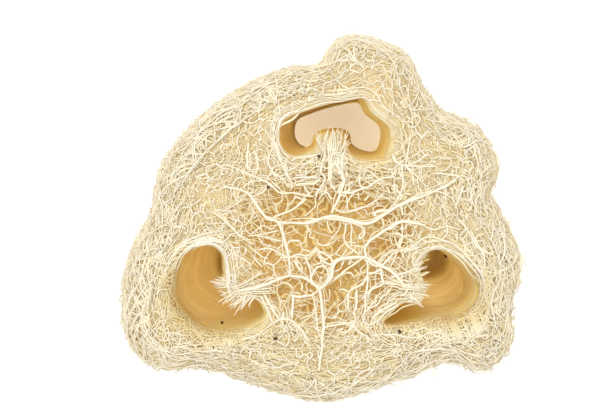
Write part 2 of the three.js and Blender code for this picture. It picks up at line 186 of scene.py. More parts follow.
TWIGS = [
    [(-14.8, 8.8), (-16.5, 8.3), (-17.3, 7.7), (-17.2, 6.6)],
    [(-16.0, 5.0), (-14.4, 5.7), (-12.7, 6.9), (-12.6, 7.9)],
    [(-16.8, 4.2), (-17.8, 4.4), (-19.2, 3.5), (-21.8, 2.3)],
    [(-16.5, 3.7), (-15.3, 2.3), (-15.3, 1.0), (-16.5, -0.6), (-17.0, -1.4), (-16.7, -2.6), (-15.8, -3.1)],
    [(-15.8, -3.1), (-14.4, -2.1), (-13.1, -1.3), (-11.2, -2.1), (-10.2, -0.9)],
    [(-16.5, -3.5), (-14.1, -3.3), (-11.6, -2.8), (-9.6, -2.3)],
    [(-14.4, -3.5), (-11.9, -4.2), (-9.0, -4.6)],
    [(-22.9, 1.0), (-21.4, 1.5), (-19.7, 2.1), (-18.9, 1.3)],
    [(-18.5, 0.8), (-19.2, -0.2), (-19.9, -1.1)],
    [(-24.0, 11.0), (-22.8, 9.3), (-22.1, 7.8), (-22.6, 6.6)],
    [(-3.9, 0.8), (-2.4, 2.3), (-1.5, 3.2), (-1.7, 4.9)],
    [(-3.1, -0.6), (-3.4, -2.5), (-3.7, -3.8), (-3.9, -4.8), (-5.6, -5.7)],
    [(-3.7, -0.6), (-3.1, -2.1), (-2.5, -3.0), (-3.1, -3.8), (-1.7, -4.3)],
    [(-4.9, 10.0), (-4.9, 11.3), (-3.9, 12.3), (-2.2, 13.7), (-0.5, 14.2)],
    [(-3.6, 9.6), (-3.7, 11.0), (-3.2, 12.0)],
    [(17.9, 12.0), (19.4, 11.3), (20.3, 9.6), (20.4, 7.9)],
    [(4.1, -0.4), (4.1, -1.1), (3.6, -2.3), (2.6, -3.3), (1.6, -4.3)],
    [(1.1, -0.1), (1.4, -1.8), (2.1, -2.8)],
    [(5.3, -0.6), (5.3, -2.3), (4.8, -3.6), (4.8, -4.9)],
    [(6.3, -0.8), (6.7, -1.9), (6.5, -3.6), (6.5, -6.2)],
    [(17.7, -0.4), (17.9, -2.3), (17.7, -4.3), (17.0, -6.4)],
    [(16.2, -3.7), (16.6, -5.2), (17.0, -6.4)],
    [(17.0, -6.4), (15.0, -7.4), (13.6, -8.1), (13.1, -8.8)],
    [(17.0, -6.7), (16.2, -8.4), (15.3, -10.5)],
    [(17.2, -6.7), (18.0, -7.6), (18.1, -8.8)],
    [(5.3, 7.9), (5.1, 6.2), (5.5, 4.5), (5.7, 2.2)],
    [(7.4, 6.6), (6.2, 4.9), (5.5, 3.8)],
    [(4.8, 13.7), (7.0, 13.3), (8.2, 13.2), (9.4, 13.0)],
    [(8.4, 13.0), (8.4, 11.0), (8.2, 9.6), (8.7, 6.9)],
    [(8.7, 12.2), (11.3, 12.3), (13.8, 12.9), (15.5, 13.3)],
    [(5.5, -6.4), (4.8, -7.8), (4.1, -8.9)],
    [(6.0, -16.1), (4.6, -15.4), (3.6, -15.6)],
    [(6.0, -16.9), (7.2, -17.4), (7.7, -16.0)],
    [(13.8, -14.0), (15.5, -14.2), (16.9, -14.4)],
    [(19.4, -11.8), (19.8, -14.2), (20.0, -15.4)],
    [(-18.4, -8.3), (-16.8, -9.3), (-15.8, -10.1)],
    [(-18.5, -9.5), (-17.8, -10.6), (-17.3, -11.5)],
    [(-15.5, -7.9), (-14.4, -9.5), (-13.4, -10.5)],
    [(-16.5, -5.5), (-14.8, -7.1), (-13.1, -8.4), (-12.1, -8.6)],
    [(-15.1, -25.8), (-15.3, -27.6)],
    [(-13.9, -25.3), (-14.1, -27.1)],
    [(-7.0, -23.7), (-6.8, -25.3), (-5.3, -27.0)],
]
# Single strands that stand out in the wall band
STRANDS = [
    [(15.7, 14.9), (16.1, 13.3), (17.7, 12.3), (20.4, 12.1), (25.2, 11.9)],
    [(18.4, 12.1), (19.2, 15.6), (19.6, 19.2)],
    [(18.4, 12.1), (21.2, 13.2), (23.6, 14.9)],
    [(18.4, 12.1), (20.4, 10.4), (22.0, 8.5)],
    [(18.4, 12.1), (19.8, 10.2), (20.4, 8.1)],
    [(16.5, 2.6), (19.6, 4.6), (22.0, 5.8), (25.2, 6.4), (27.9, 5.4), (29.9, 3.0), (30.1, 1.0)],
    [(22.0, 6.0), (25.2, 6.5), (27.9, 7.7), (29.9, 9.5), (31.9, 9.7), (32.9, 7.7), (33.1, 5.0), (34.7, 1.4)],
    [(24.4, 10.5), (27.5, 10.1), (30.7, 9.7)],
    [(14.9, -2.2), (18.1, -0.2), (21.2, -0.6), (24.4, -2.2), (27.9, -1.4), (30.7, -2.2)],
    [(18.1, -7.3), (20.8, -5.3), (23.6, -3.7), (26.8, -4.5), (29.9, -5.7), (32.7, -8.5), (34.7, -10.9)],
    [(20.4, -7.7), (22.4, -6.5), (26.0, -5.9), (28.7, -7.3), (31.5, -9.7), (33.9, -12.8), (35.9, -14.8)],
    [(30.3, 0.2), (32.7, -2.5), (33.9, -5.3), (35.9, -7.7), (36.3, -10.9)],
    [(29.5, 2.6), (30.7, 5.4), (31.5, 7.7)],
    [(33.1, -2.2), (35.1, -6.1), (38.2, -7.7)],
    [(10.9, -25.9), (15.7, -25.5), (20.4, -26.3), (25.2, -25.1), (27.5, -25.9)],
    [(-33.2, -11.2), (-31.8, -8.3), (-29.6, -5.9), (-26.5, -4.4), (-22.2, -4.8), (-20.1, -3.0)],
    [(-32.7, -11.5), (-30.7, -7.6), (-27.9, -5.3), (-25.0, -4.8), (-21.9, -5.2)],
    [(-36.0, -12.6), (-33.9, -9.4), (-31.8, -6.2), (-28.9, -4.1), (-25.0, -2.7), (-21.5, -1.6)],
]
CORE = np.array((1.0, -4.5))
CORE_INNER, CORE_OUTER = 13.0, 25.0

# View of the upper end: the camera stands above EYE and looks at AIM on the cut
EYE = (2.9, 20.0)
AIM = (-3.6, 3.6)
EYE_HEIGHT = 3.608  # camera distance from the cut, in lengths of the sponge
FRAME_WIDTH = 136.0


class LoofahSettings(bpy.types.PropertyGroup):
    """Sizes and colours of the fibres."""
    edge_round: bpy.props.FloatProperty(
        name="Edge rounding", description="Radius of the upper end's outer edge",
        default=0.006, min=0.001, unit="LENGTH")
    mat_inset: bpy.props.FloatProperty(
        name="Mat inset", description="Depth of the fibre mat behind the outermost strands",
        default=0.0009, min=0.0003, unit="LENGTH")
    band_gap: bpy.props.FloatProperty(
        name="Band gap", description="Depth of the gaps between strands in the wall band",
        default=0.0005, min=0.0003, unit="LENGTH")
    core_depth: bpy.props.FloatProperty(
        name="Core depth", description="Depth of the open cells in the core",
        default=0.006, min=0.001, unit="LENGTH")
    vein_radius: bpy.props.FloatProperty(
        name="Vein radius", description="Radius of the main veins",
        default=0.00037, min=0.0001, unit="LENGTH")
    strand_radius: bpy.props.FloatProperty(
        name="Strand radius", description="Radius of the strands of the wall band and the net",
        default=0.00022, min=0.00005, unit="LENGTH")
    hair_radius: bpy.props.FloatProperty(
        name="Hair radius", description="Radius of the loose fibre ends",
        default=0.00011, min=0.00003, unit="LENGTH")
    band_strands: bpy.props.IntProperty(
        name="Band strands", description="Strands in each layer of the upper end's wall band", default=1100)
    net_strands: bpy.props.IntProperty(
        name="Net strands", description="Strands in each layer of the outer net", default=520)
    loose_fibres: bpy.props.IntProperty(
        name="Loose fibres", description="Fibre ends that stand off the outside", default=2400)
    fibre_colour: bpy.props.FloatVectorProperty(
        name="Fibre", description="Strands on the surface", subtype="COLOR", size=3,
        default=(0.92, 0.855, 0.695), min=0, max=1)
    # The gap and deep colours are the inner fibres' own golden tan and also painted shade: the light that dims
    # and warms as it bounces down among the fibres.
    gap_colour_and_shade: bpy.props.FloatVectorProperty(
        name="Gap", description="Fibres a little below the surface", subtype="COLOR", size=3,
        default=(0.92, 0.80, 0.50), min=0, max=1)
    deep_colour_and_shade: bpy.props.FloatVectorProperty(
        name="Deep", description="Fibres at the bottom of the open cells", subtype="COLOR", size=3,
        default=(0.90, 0.70, 0.28), min=0, max=1)
    lining_colour: bpy.props.FloatVectorProperty(
        name="Lining", description="Papery lining of the chambers", subtype="COLOR", size=3,
        default=(0.90, 0.79, 0.34), min=0, max=1)
    fleck_colour: bpy.props.FloatVectorProperty(
        name="Flecks", description="Bits of dark seed coat", subtype="COLOR", size=3,
        default=(0.05, 0.025, 0.012), min=0, max=1)


class LoofahStageSettings(bpy.types.PropertyGroup):
    """Floor and light."""
    floor_size: bpy.props.FloatProperty(
        name="Floor size", description="Side of the square floor", default=6.0, unit="LENGTH")
    floor_colour: bpy.props.FloatVectorProperty(
        name="Floor", description="Pale floor", subtype="COLOR", size=3,
        default=(0.97, 0.97, 0.97), min=0, max=1)
    floor_tint: bpy.props.FloatVectorProperty(
        name="Floor glow tint", description="Colour of the light that comes up through the floor",
        subtype="COLOR", size=3, default=(1.0, 0.95, 0.86), min=0, max=1)
    floor_glow: bpy.props.FloatProperty(
        name="Floor glow", description="Light that comes up through the floor", default=0.3, min=0)
    key_power: bpy.props.FloatProperty(
        name="Key light", description="Power of the large soft light", default=6.8, min=0, unit="POWER")
    fill_power: bpy.props.FloatProperty(
        name="Fill light", description="Power of the opposite soft light", default=1.8, min=0, unit="POWER")
    chamber_power: bpy.props.FloatProperty(
        name="Chamber light", description="Power of each light inside a chamber",
        default=0.00030, min=0, unit="POWER")
    world_light: bpy.props.FloatProperty(
        name="Room light", description="Strength of the even light all round", default=0.58, min=0)


def settings():
    return bpy.context.scene.loofah


# Repeatable noise

def hashed(cells, seed):
    """A value from 0 to 1 for each row of three whole numbers."""
    mixed = (cells[..., 0] * 73856093) ^ (cells[..., 1] * 19349663)
    mixed = mixed ^ (cells[..., 2] * 83492791) ^ (seed * 40503)
    mixed = (mixed ^ (mixed >> 13)) * 1274126177
    return ((mixed ^ (mixed >> 16)) & 0xFFFFFF) / 0xFFFFFF


def noise(points, size, seed):
    """Smooth noise from -1 to 1 at points of two or three coordinates, with lumps about size across."""
    places = np.asarray(points, float) / size
    if places.shape[-1] == 2:
        places = np.concatenate([places, np.zeros_like(places[..., :1])], axis=-1)
    base = np.floor(places).astype(np.int64)
    inner = places - base
    inner = inner * inner * (3 - 2 * inner)
    total = np.zeros(places.shape[:-1])
    for corner in itertools.product((0, 1), repeat=3):
        share = np.prod(np.where(np.array(corner) == 1, inner, 1 - inner), axis=-1)
        total += share * hashed(base + np.array(corner), seed)
    return 2 * total - 1


def smoothstep(low, high, value):
    share = np.clip((value - low) / (high - low), 0, 1)
    return share * share * (3 - 2 * share)


def unit(vectors):
    return vectors / np.maximum(np.linalg.norm(vectors, axis=-1, keepdims=True), 1e-9)


def lerp(a, b, share):
    return a + (b - a) * share


# Form of the sponge

def smooth_curve(points, count, closed):
    """Centripetal Catmull-Rom curve through the points, cut into even steps."""
    points = np.array(points, float)
    if closed:
        corners = np.concatenate([points[-1:], points, points[:2]])
    else:
        corners = np.concatenate([2 * points[:1] - points[1:2], points, 2 * points[-1:] - points[-2:-1]])
    share = np.linspace(0, 1, 24, endpoint=False)[:, None]
    pieces = []
    for a, b, c, d in zip(corners, corners[1:], corners[2:], corners[3:]):
        before, across, after = (np.linalg.norm(q - p) ** 0.5 for p, q in ((a, b), (b, c), (c, d)))
        leave = ((b - a) / before - (c - a) / (before + across) + (c - b) / across) * across
        arrive = ((c - b) / across - (d - b) / (across + after) + (d - c) / after) * across
        cubic = 2 * b - 2 * c + leave + arrive
        square = 3 * c - 3 * b - 2 * leave - arrive
        pieces.append(b + leave * share + square * share**2 + cubic * share**3)
    line = np.concatenate([*pieces, corners[-2][None]])
    along = np.concatenate([[0], np.cumsum(np.linalg.norm(np.diff(line, axis=0), axis=1))])
    places = np.linspace(0, along[-1], count, endpoint=not closed)
    return np.stack([np.interp(places, along, line[:, k]) for k in range(line.shape[1])], axis=1)


OUTLINE_STEPS = 1440
OUTLINE_LOOP = smooth_curve(OUTLINE, OUTLINE_STEPS, closed=True)
OUTLINE_TANGENT = unit(np.roll(OUTLINE_LOOP, -1, 0) - np.roll(OUTLINE_LOOP, 1, 0))
OUTLINE_NORMAL = np.stack([OUTLINE_TANGENT[:, 1], -OUTLINE_TANGENT[:, 0]], axis=1)
GIRTH = float(np.linalg.norm(OUTLINE_LOOP - np.roll(OUTLINE_LOOP, 1, 0), axis=1).sum())


def on_outline(table, turn):
    """Row of an outline table at a share of the way round."""
    place = (np.asarray(turn) % 1.0) * OUTLINE_STEPS
    low = place.astype(int) % OUTLINE_STEPS
    return lerp(table[low], table[(low + 1) % OUTLINE_STEPS], (place - np.floor(place))[..., None])


def grow(height):
    share = np.clip(height / LENGTH, 0, 1)
    return 1 + BELLY_SHARE * np.sin(np.pi * share) + FLARE_SHARE * (1 - share)


def sway(height):
    return BOW * np.sin(2 * np.pi * np.clip(height / LENGTH, 0, 1))


def wall(turn, height, out=0.0):
    """Points of the outer wall: turn runs once round it, out is the distance outside it."""
    turn, height, out = np.broadcast_arrays(turn, height, out)
    share = np.clip(height / LENGTH, 0, 1)
    round_it = np.sin(2 * np.pi * (5 * turn + share))
    lump = LUMP * np.sin(np.pi * share) * round_it * np.cos(4 * np.pi * (share - turn))
    flat = on_outline(OUTLINE_LOOP, turn) * grow(height)[..., None]
    flat = flat + on_outline(OUTLINE_NORMAL, turn) * (out + lump)[..., None]
    across = flat[..., 0] + sway(height) + SHIFT[0] * share
    return np.stack([across, flat[..., 1] + SHIFT[1] * share, height], axis=-1)


def skin(turn, rise, out, lower_round=2.5):
    """Outer wall that rounds over on to both cut ends. rise is measured along the wall from the base."""
    upper_round = settings().edge_round / MM
    over = np.clip((rise - (LENGTH - upper_round)) / upper_round, 0, np.pi / 2)
    under = np.clip((lower_round - rise) / lower_round, 0, np.pi / 2)
    height = np.clip(rise, lower_round, LENGTH - upper_round)
    height = height + upper_round * np.sin(over) - lower_round * np.sin(under)
    inset = upper_round * (1 - np.cos(over)) + lower_round * (1 - np.cos(under))
    points = wall(turn, height, out * np.cos(over) * np.cos(under) - inset)
    points[..., 2] += out * (np.sin(over) - np.sin(under))
    return points


def chamber_loop(chamber, height, count):
    """Outline of a chamber at a height, or at a height for each of its points."""
    loop = smooth_curve(chamber["rim"], count, closed=True)
    middle = loop.mean(axis=0)
    height = np.broadcast_to(np.asarray(height, float), (count,))[:, None]
    below = 1 - np.clip(height / LENGTH, 0, 1)
    size = 1 - (1 - chamber["narrowing"]) * below
    shifted = middle * grow(height) + np.array(chamber["lean"]) * below + sway(height) * np.array((1, 0))
    return shifted + (loop - middle) * size


def inside(points, loop):
    """Whether each point lies inside a closed loop."""
    a, b = loop, np.roll(loop, -1, axis=0)
    x, y = points[:, :1], points[:, 1:2]
    crosses = (a[:, 1] > y) != (b[:, 1] > y)
    rise = np.where(b[:, 1] == a[:, 1], 1e-9, b[:, 1] - a[:, 1])
    return (crosses & (x < (b[:, 0] - a[:, 0]) * (y - a[:, 1]) / rise + a[:, 0])).sum(axis=1) % 2 == 1


def depth_inside(points, loop, chunk=3000):
    """Distance of each point to a closed loop, negative outside it."""
    a, b = loop, np.roll(loop, -1, axis=0)
    run = b - a
    found = []
    for part in np.array_split(points, max(1, len(points) // chunk)):
        share = np.clip(((part[:, None] - a) * run).sum(-1) / (run * run).sum(-1), 0, 1)
        gap = np.linalg.norm(part[:, None] - a - share[..., None] * run, axis=-1).min(axis=1)
        found.append(np.where(inside(part, loop), gap, -gap))
    return np.concatenate(found)


class CutEnd:
    """Distances on one cut end, kept on a grid: from the outline inwards, and from each chamber outwards."""
    STEP = 0.6

    def __init__(self, height):
        turns = np.linspace(0, 1, 360, endpoint=False)
        self.height = height
        self.outline = wall(turns, height)[:, :2]
        self.rims = [chamber_loop(chamber, height, 96) for chamber in CHAMBERS]
        self.middles = [rim.mean(axis=0) for rim in self.rims]
        self.low = self.outline.min(axis=0) - 5
        self.count = np.ceil((self.outline.max(axis=0) + 5 - self.low) / self.STEP).astype(int)
        columns, rows = np.meshgrid(np.arange(self.count[0]), np.arange(self.count[1]), indexing="ij")
        grid = self.low + self.STEP * np.stack([columns.ravel(), rows.ravel()], axis=1)
        loops = [(self.outline, 1), *((rim, -1) for rim in self.rims)]
        self.fields = [(sign * depth_inside(grid, loop)).reshape(self.count) for loop, sign in loops]

    def look_up(self, field, points):
        place = np.clip((points - self.low) / self.STEP, 0, self.count - 1.001)
        low = place.astype(int)
        part = place - low
        x, y = low[..., 0], low[..., 1]
        near = lerp(field[x, y], field[x + 1, y], part[..., 0])
        far = lerp(field[x, y + 1], field[x + 1, y + 1], part[..., 0])
        return lerp(near, far, part[..., 1])

    def edge(self, points):
        return self.look_up(self.fields[0], points)

    def rim(self, points):
        return np.min([self.look_up(field, points) for field in self.fields[1:]], axis=0)

    def away(self, measure, points, step=0.4):
        """Direction in which a distance grows fastest."""
        sideways, upwards = np.array((step, 0)), np.array((0, step))
        return unit(np.stack([
            measure(points + sideways) - measure(points - sideways),
            measure(points + upwards) - measure(points - upwards)], axis=-1))


UPPER = CutEnd(LENGTH)
LOWER = CutEnd(0.0)


def coreness(points):
    """1 in the open core of the sponge, 0 in the wall band."""
    reach = points - CORE
    stretch = np.where(reach[..., 1] > 0, 1.25, 1.0)
    return 1 - smoothstep(CORE_INNER, CORE_OUTER, np.hypot(reach[..., 0], stretch * reach[..., 1]))


def rounding(gap, radius):
    """Drop of a rounded edge at a distance from it."""
    near = np.clip(1 - gap / radius, 0, 1)
    return radius * (1 - np.sqrt(np.maximum(1 - near * near, 0)))


def rim_drop(points):
    """How far the upper cut runs down towards the chambers."""
    drop = np.zeros(points.shape[:-1])
    for chamber, middle, field in zip(CHAMBERS, UPPER.middles, UPPER.fields[1:]):
        facing = np.clip(unit(points - middle) @ unit(np.array(chamber["opens"])), 0, 1)
        drop = drop + rounding(UPPER.look_up(field, points), lerp(1.0, chamber["lip"], facing))
    return drop


def cut_height(points):
    """Height of the upper cut, rounded at its outer edge and where it runs down into a chamber."""
    swell = 0.5 * (noise(points, 9.0, 1) - 1)
    return LENGTH - rounding(UPPER.edge(points), settings().edge_round / MM) - rim_drop(points) + swell


def cut_gap(points, shallow, deep):
    """Depth of the mat below a cut: deep in the core, and little beside the outline and the chambers."""
    full = lerp(shallow, deep, coreness(points))
    nearest = np.minimum(UPPER.edge(points), UPPER.rim(points))
    return full * smoothstep(-0.5, 4.0, nearest) + 0.3 + 0.35 * shallow * noise(points, 2.6, 2)


# Meshes from fibres

class Fibres:
    """Collects closed tubes along paths, and the attributes that colour them."""

    def __init__(self):
        self.places, self.corners, self.counts = [], [], []
        self.sunk, self.tone = [], []
        self.total = 0

    def add(self, paths, radius, up=(0, 0, 1), sides=4, tip=0.4, sunk=0.0, tone=None, tall=1.0, flare=0.0,
            seed=0):
        """Tubes along paths of equal count. tip is the share of the radius left at the ends, sunk the depth
        from 0 at the surface to 1, which turns the colour golden, partly the fibre's own colour and partly
        painted shade, tall the height of the section against its width, and flare how much wider than that the
        tube is where it joins others."""
        paths = np.asarray(paths, float)
        tubes, steps = paths.shape[:2]
        if tubes == 0:
            return
        tangent = unit(np.gradient(paths, axis=1))
        side = unit(np.cross(tangent, np.broadcast_to(up, paths.shape)))
        lift = np.cross(side, tangent)
        share = np.linspace(0, 1, steps)
        taper = tip + (1 - tip) * np.clip(4 * np.minimum(share, 1 - share) / 1.2, 0, 1) ** 0.5
        length = np.linalg.norm(np.diff(paths, axis=1), axis=2).sum(axis=1)[:, None]
        taper = taper + flare * np.exp(-length * np.minimum(share, 1 - share) / 0.9)
        width = np.broadcast_to(np.asarray(radius, float).reshape(-1, 1), (tubes, 1)) * taper
        angle = 2 * np.pi * (np.arange(sides) + 0.5) / sides
        around = np.cos(angle)[:, None] * side[:, :, None] + tall * np.sin(angle)[:, None] * lift[:, :, None]
        ring = paths[:, :, None] + width[:, :, None, None] * around
        first = self.total + np.arange(tubes)[:, None, None] * steps * sides
        row = first + np.arange(steps - 1)[None, :, None] * sides
        here = row + np.arange(sides)
        beside = row + (np.arange(sides) + 1) % sides
        walls = np.stack([here, beside, beside + sides, here + sides], axis=-1).reshape(-1)
        start = (first[:, :, 0] + np.arange(sides)[::-1]).reshape(-1)
        end = (first[:, :, 0] + (steps - 1) * sides + np.arange(sides)).reshape(-1)
        self.corners += [walls, start, end]
        self.counts += [np.full(len(walls) // 4, 4), np.full(2 * tubes, sides)]
        self.places.append(ring.reshape(-1, 3))
        if tone is None:
            tone = np.random.default_rng(seed + 101).random(tubes)
        spread = np.ones((tubes, steps, sides))
        self.sunk.append((spread * np.broadcast_to(sunk, (tubes, steps))[:, :, None]).ravel())
        self.tone.append((spread * np.reshape(tone, (-1, 1, 1))).ravel())
        self.total += tubes * steps * sides

    def piece(self, name, material):
        attributes = {"sunk": np.concatenate(self.sunk), "tone": np.concatenate(self.tone)}
        corners, counts = np.concatenate(self.corners), np.concatenate(self.counts)
        return new_piece(name, np.concatenate(self.places), corners, counts, attributes, [material])


def new_piece(name, places, corners, counts, attributes, materials, slots=None):
    """A smooth mesh that stands for the solid and rides with it. places are in millimetres."""
    mesh = bpy.data.meshes.new(name)
    mesh.vertices.add(len(places))
    mesh.vertices.foreach_set("co", (np.asarray(places) * MM).astype(np.float32).ravel())
    mesh.loops.add(len(corners))
    mesh.loops.foreach_set("vertex_index", np.asarray(corners, np.int32))
    mesh.polygons.add(len(counts))
    starts = np.concatenate([[0], np.cumsum(counts)[:-1]])
    mesh.polygons.foreach_set("loop_start", starts.astype(np.int32))
    for label, values in attributes.items():
        mesh.attributes.new(label, "FLOAT", "POINT").data.foreach_set("value", values.astype(np.float32))
    for material in materials:
        mesh.materials.append(material)
    if slots is not None:
        mesh.polygons.foreach_set("material_index", np.asarray(slots, np.int32))
    mesh.update(calc_edges=True)
    if mesh.validate(verbose=False):
        raise RuntimeError(f"{name} has faces that are not valid")
    mesh.shade_smooth()
    piece = bpy.data.objects.new(name, mesh)
    bpy.context.scene.collection.objects.link(piece)
    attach(piece, BODY)
    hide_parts(NODE)
    return piece


# Materials

class Nodes:
    """Short calls for the nodes of one material."""

    def __init__(self, name):
        self.material = bpy.data.materials.get(name) or bpy.data.materials.new(name)
        self.material.use_nodes = True
        self.tree = self.material.node_tree
        self.shader = self.tree.nodes["Principled BSDF"]

    def add(self, kind, label, **values):
        node = self.tree.nodes.new(kind)
        node.label = label
        for key, value in values.items():
            setattr(node, key, value)
        return node

    def link(self, source, target):
        self.tree.links.new(source, target)

    def attribute(self, name):
        return self.add("ShaderNodeAttribute", name, attribute_name=name).outputs["Fac"]

    def noise(self, label, scale, detail, stretch=(1, 1, 1)):
        coordinate = self.add("ShaderNodeTexCoord", "place")
        mapping = self.add("ShaderNodeMapping", label + " stretch")
        mapping.inputs["Scale"].default_value = stretch
        texture = self.add("ShaderNodeTexNoise", label)
        texture.inputs["Scale"].default_value = scale
        texture.inputs["Detail"].default_value = detail
        self.link(coordinate.outputs["Object"], mapping.inputs["Vector"])
        self.link(mapping.outputs["Vector"], texture.inputs["Vector"])
        return texture.outputs["Fac"]

    def ramp(self, label, source, stops):
        node = self.add("ShaderNodeValToRGB", label)
        while len(node.color_ramp.elements) < len(stops):
            node.color_ramp.elements.new(0.5)
        for element, (place, colour) in zip(node.color_ramp.elements, stops):
            element.position = place
            element.color = (*colour, 1.0)
        self.link(source, node.inputs["Fac"])
        return node.outputs["Color"]

    def mix(self, label, kind, share, first, second):
        node = self.add("ShaderNodeMix", label, data_type="RGBA", blend_type=kind)
        if isinstance(share, float):
            node.inputs["Factor"].default_value = share
        else:
            self.link(share, node.inputs["Factor"])
        for source, socket in ((first, node.inputs[6]), (second, node.inputs[7])):
            if isinstance(source, tuple):
                socket.default_value = (*source, 1.0)
            else:
                self.link(source, socket)
        return node.outputs[2]

    def spread(self, label, source, low, high):
        node = self.add("ShaderNodeMapRange", label)
        node.inputs["To Min"].default_value = low
        node.inputs["To Max"].default_value = high
        self.link(source, node.inputs["Value"])
        return node.outputs["Result"]

    def grey(self, label, source, low, high):
        return self.ramp(label, source, [(0.0, (low,) * 3), (1.0, (high,) * 3)])

    def bump(self, source, strength, distance):
        node = self.add("ShaderNodeBump", "surface grain")
        node.inputs["Strength"].default_value = strength
        node.inputs["Distance"].default_value = distance
        self.link(source, node.inputs["Height"])
        self.link(node.outputs["Normal"], self.shader.inputs["Normal"])

    def finish(self, colour, roughness, scatter=0.0, reach=0.001):
        """Join colour and roughness to the shader. scatter is the share of light that enters the fibre."""
        self.link(colour, self.shader.inputs["Base Color"])
        self.link(roughness, self.shader.inputs["Roughness"])
        self.shader.inputs["Specular IOR Level"].default_value = 0.25
        self.shader.inputs["Subsurface Weight"].default_value = scatter
        self.shader.inputs["Subsurface Radius"].default_value = (1.0, 1.0, 1.0)
        self.shader.inputs["Subsurface Scale"].default_value = reach
        return self.material


# Colour by depth, pale at the surface and golden below it: partly the fibres' own colour, partly painted shade
# of the light that bounces down among the fibres.
def depth_colours(nodes):
    look = settings()
    stops = [(0.0, tuple(look.fibre_colour)), (0.3, tuple(look.gap_colour_and_shade)), (1.0, tuple(look.deep_colour_and_shade))]
    return nodes.ramp("colour by depth", nodes.attribute("sunk"), stops)


def strand_material():
    """Dry strand: pale at the surface, golden below it, partly its own colour and partly painted shade, each
    strand a little lighter or darker.
    """
    nodes = Nodes("loofah_strand")
    colour = depth_colours(nodes)
    tone = nodes.grey("strand by strand", nodes.attribute("tone"), 0.92, 1.0)
    colour = nodes.mix("toned", "MULTIPLY", 1.0, colour, tone)
    blotch = nodes.noise("blotches", 260.0, 3.0)
    warm = nodes.ramp("warm blotches", blotch, [(0.38, (1.0, 1.0, 1.0)), (0.72, (0.97, 0.90, 0.74))])
    colour = nodes.mix("blotched", "MULTIPLY", 0.55, colour, warm)
    grain = nodes.noise("grain", 2600.0, 2.0)
    nodes.bump(grain, 0.35, 0.00012)
    return nodes.finish(colour, nodes.spread("roughness", grain, 0.62, 0.9), 0.3, 0.00012)


def mat_material():
    """Close felt of fine fibres behind the strands, with paler threads on golden gaps. The gold is partly the
    felt's own colour and partly painted shade.
    """
    nodes = Nodes("loofah_mat")
    colour = depth_colours(nodes)
    coordinate = nodes.add("ShaderNodeTexCoord", "place")
    web = nodes.add("ShaderNodeTexVoronoi", "fine web", feature="DISTANCE_TO_EDGE")
    web.inputs["Scale"].default_value = 720.0
    nodes.link(coordinate.outputs["Object"], web.inputs["Vector"])
    thread = nodes.ramp("threads", web.outputs["Distance"], [(0.02, (1, 1, 1)), (0.12, (0, 0, 0))])
    colour = nodes.mix("threads on gaps", "MIX", nodes.spread("thread strength", thread, 0.0, 0.55),
                       colour, tuple(settings().fibre_colour))
    blotch = nodes.noise("blotches", 320.0, 4.0)
    dark = nodes.ramp("dark gaps", blotch, [(0.35, (0.90, 0.82, 0.66)), (0.6, (1.0, 1.0, 1.0))])
    colour = nodes.mix("gaps", "MULTIPLY", 0.7, colour, dark)
    nodes.bump(thread, 0.5, 0.0003)
    return nodes.finish(colour, nodes.spread("roughness", blotch, 0.7, 0.95), 1.0, 0.004)


def lining_material():
    """Papery lining of a chamber, golden, with faint ripples across it. Lighter at the rim and darker down the
    chamber: painted shade on the lining's own golden colour.
    """
    nodes = Nodes("loofah_lining")
    base = tuple(settings().lining_colour)
    # Darker and more golden down the chamber: painted shade.
    deep = tuple(channel * share for channel, share in zip(base, (0.97, 0.93, 0.82)))
    pale = tuple(settings().gap_colour_and_shade)
    colour = nodes.ramp("colour by depth", nodes.attribute("sunk"), [(0.0, pale), (0.12, base), (1.0, deep)])
    ripple = nodes.noise("ripples", 240.0, 2.0, (0.35, 0.35, 1.0))
    streak = nodes.ramp("pale streaks", ripple, [(0.45, (0.90, 0.84, 0.72)), (0.7, (1.08, 1.06, 1.0))])
    colour = nodes.mix("streaked", "MULTIPLY", 0.75, colour, streak)
    fine = nodes.noise("paper grain", 1500.0, 3.0)
    nodes.bump(ripple, 0.35, 0.0005)
    return nodes.finish(colour, nodes.spread("roughness", fine, 0.5, 0.8), 1.0, 0.004)


def fleck_material():
    nodes = Nodes("loofah_seed_fleck")
    grain = nodes.noise("husk", 3000.0, 3.0)
    dark = tuple(settings().fleck_colour)
    colour = nodes.ramp("husk colour", grain, [(0.3, dark), (0.8, tuple(3 * channel for channel in dark))])
    nodes.bump(grain, 0.4, 0.0001)
    return nodes.finish(colour, nodes.spread("roughness", grain, 0.5, 0.8))


# Backing mat

MAT_TURNS = 260
RIM_STEPS = 96
FACE_SPACING = 1.15


def face_triangles(loops, spacing, end, seed):
    """Flat triangles between an outer loop and holes, with scattered points inside."""
    rng = np.random.default_rng(seed)
    low, high = loops[0].min(axis=0), loops[0].max(axis=0)
    rows = np.arange(low[1], high[1], spacing * 0.87)
    columns = np.arange(low[0], high[0], spacing)
    grid = np.stack(np.meshgrid(columns, rows, indexing="ij"), axis=-1)
    grid[:, 1::2, 0] += spacing / 2
    points = grid.reshape(-1, 2) + rng.uniform(-0.25, 0.25, (grid.size // 2, 2)) * spacing
    clear = spacing * 0.6
    points = points[(depth_inside(points, loops[0]) > clear) & (end.rim(points) > clear)]
    rings = np.concatenate(loops)
    edges, first = [], 0
    for loop in loops:
        steps = np.arange(len(loop))
        edges += [(int(first + a), int(first + (a + 1) % len(loop))) for a in steps]
        first += len(loop)
    given = [Vector(p) for p in np.concatenate([rings, points])]
    found, _, faces, origin, _, _ = delaunay_2d_cdt(given, edges, [], 0, 1e-5)
    if len(found) != len(given):
        raise RuntimeError("the face's points did not all stay apart")
    source = np.array([original[0] for original in origin])
    faces = source[np.array([list(face) for face in faces])]
    flat = np.concatenate([rings, points])
    middle = flat[faces].mean(axis=1)
    kept = inside(middle, loops[0])
    for hole in loops[1:]:
        kept &= ~inside(middle, hole)
    return flat, faces[kept]


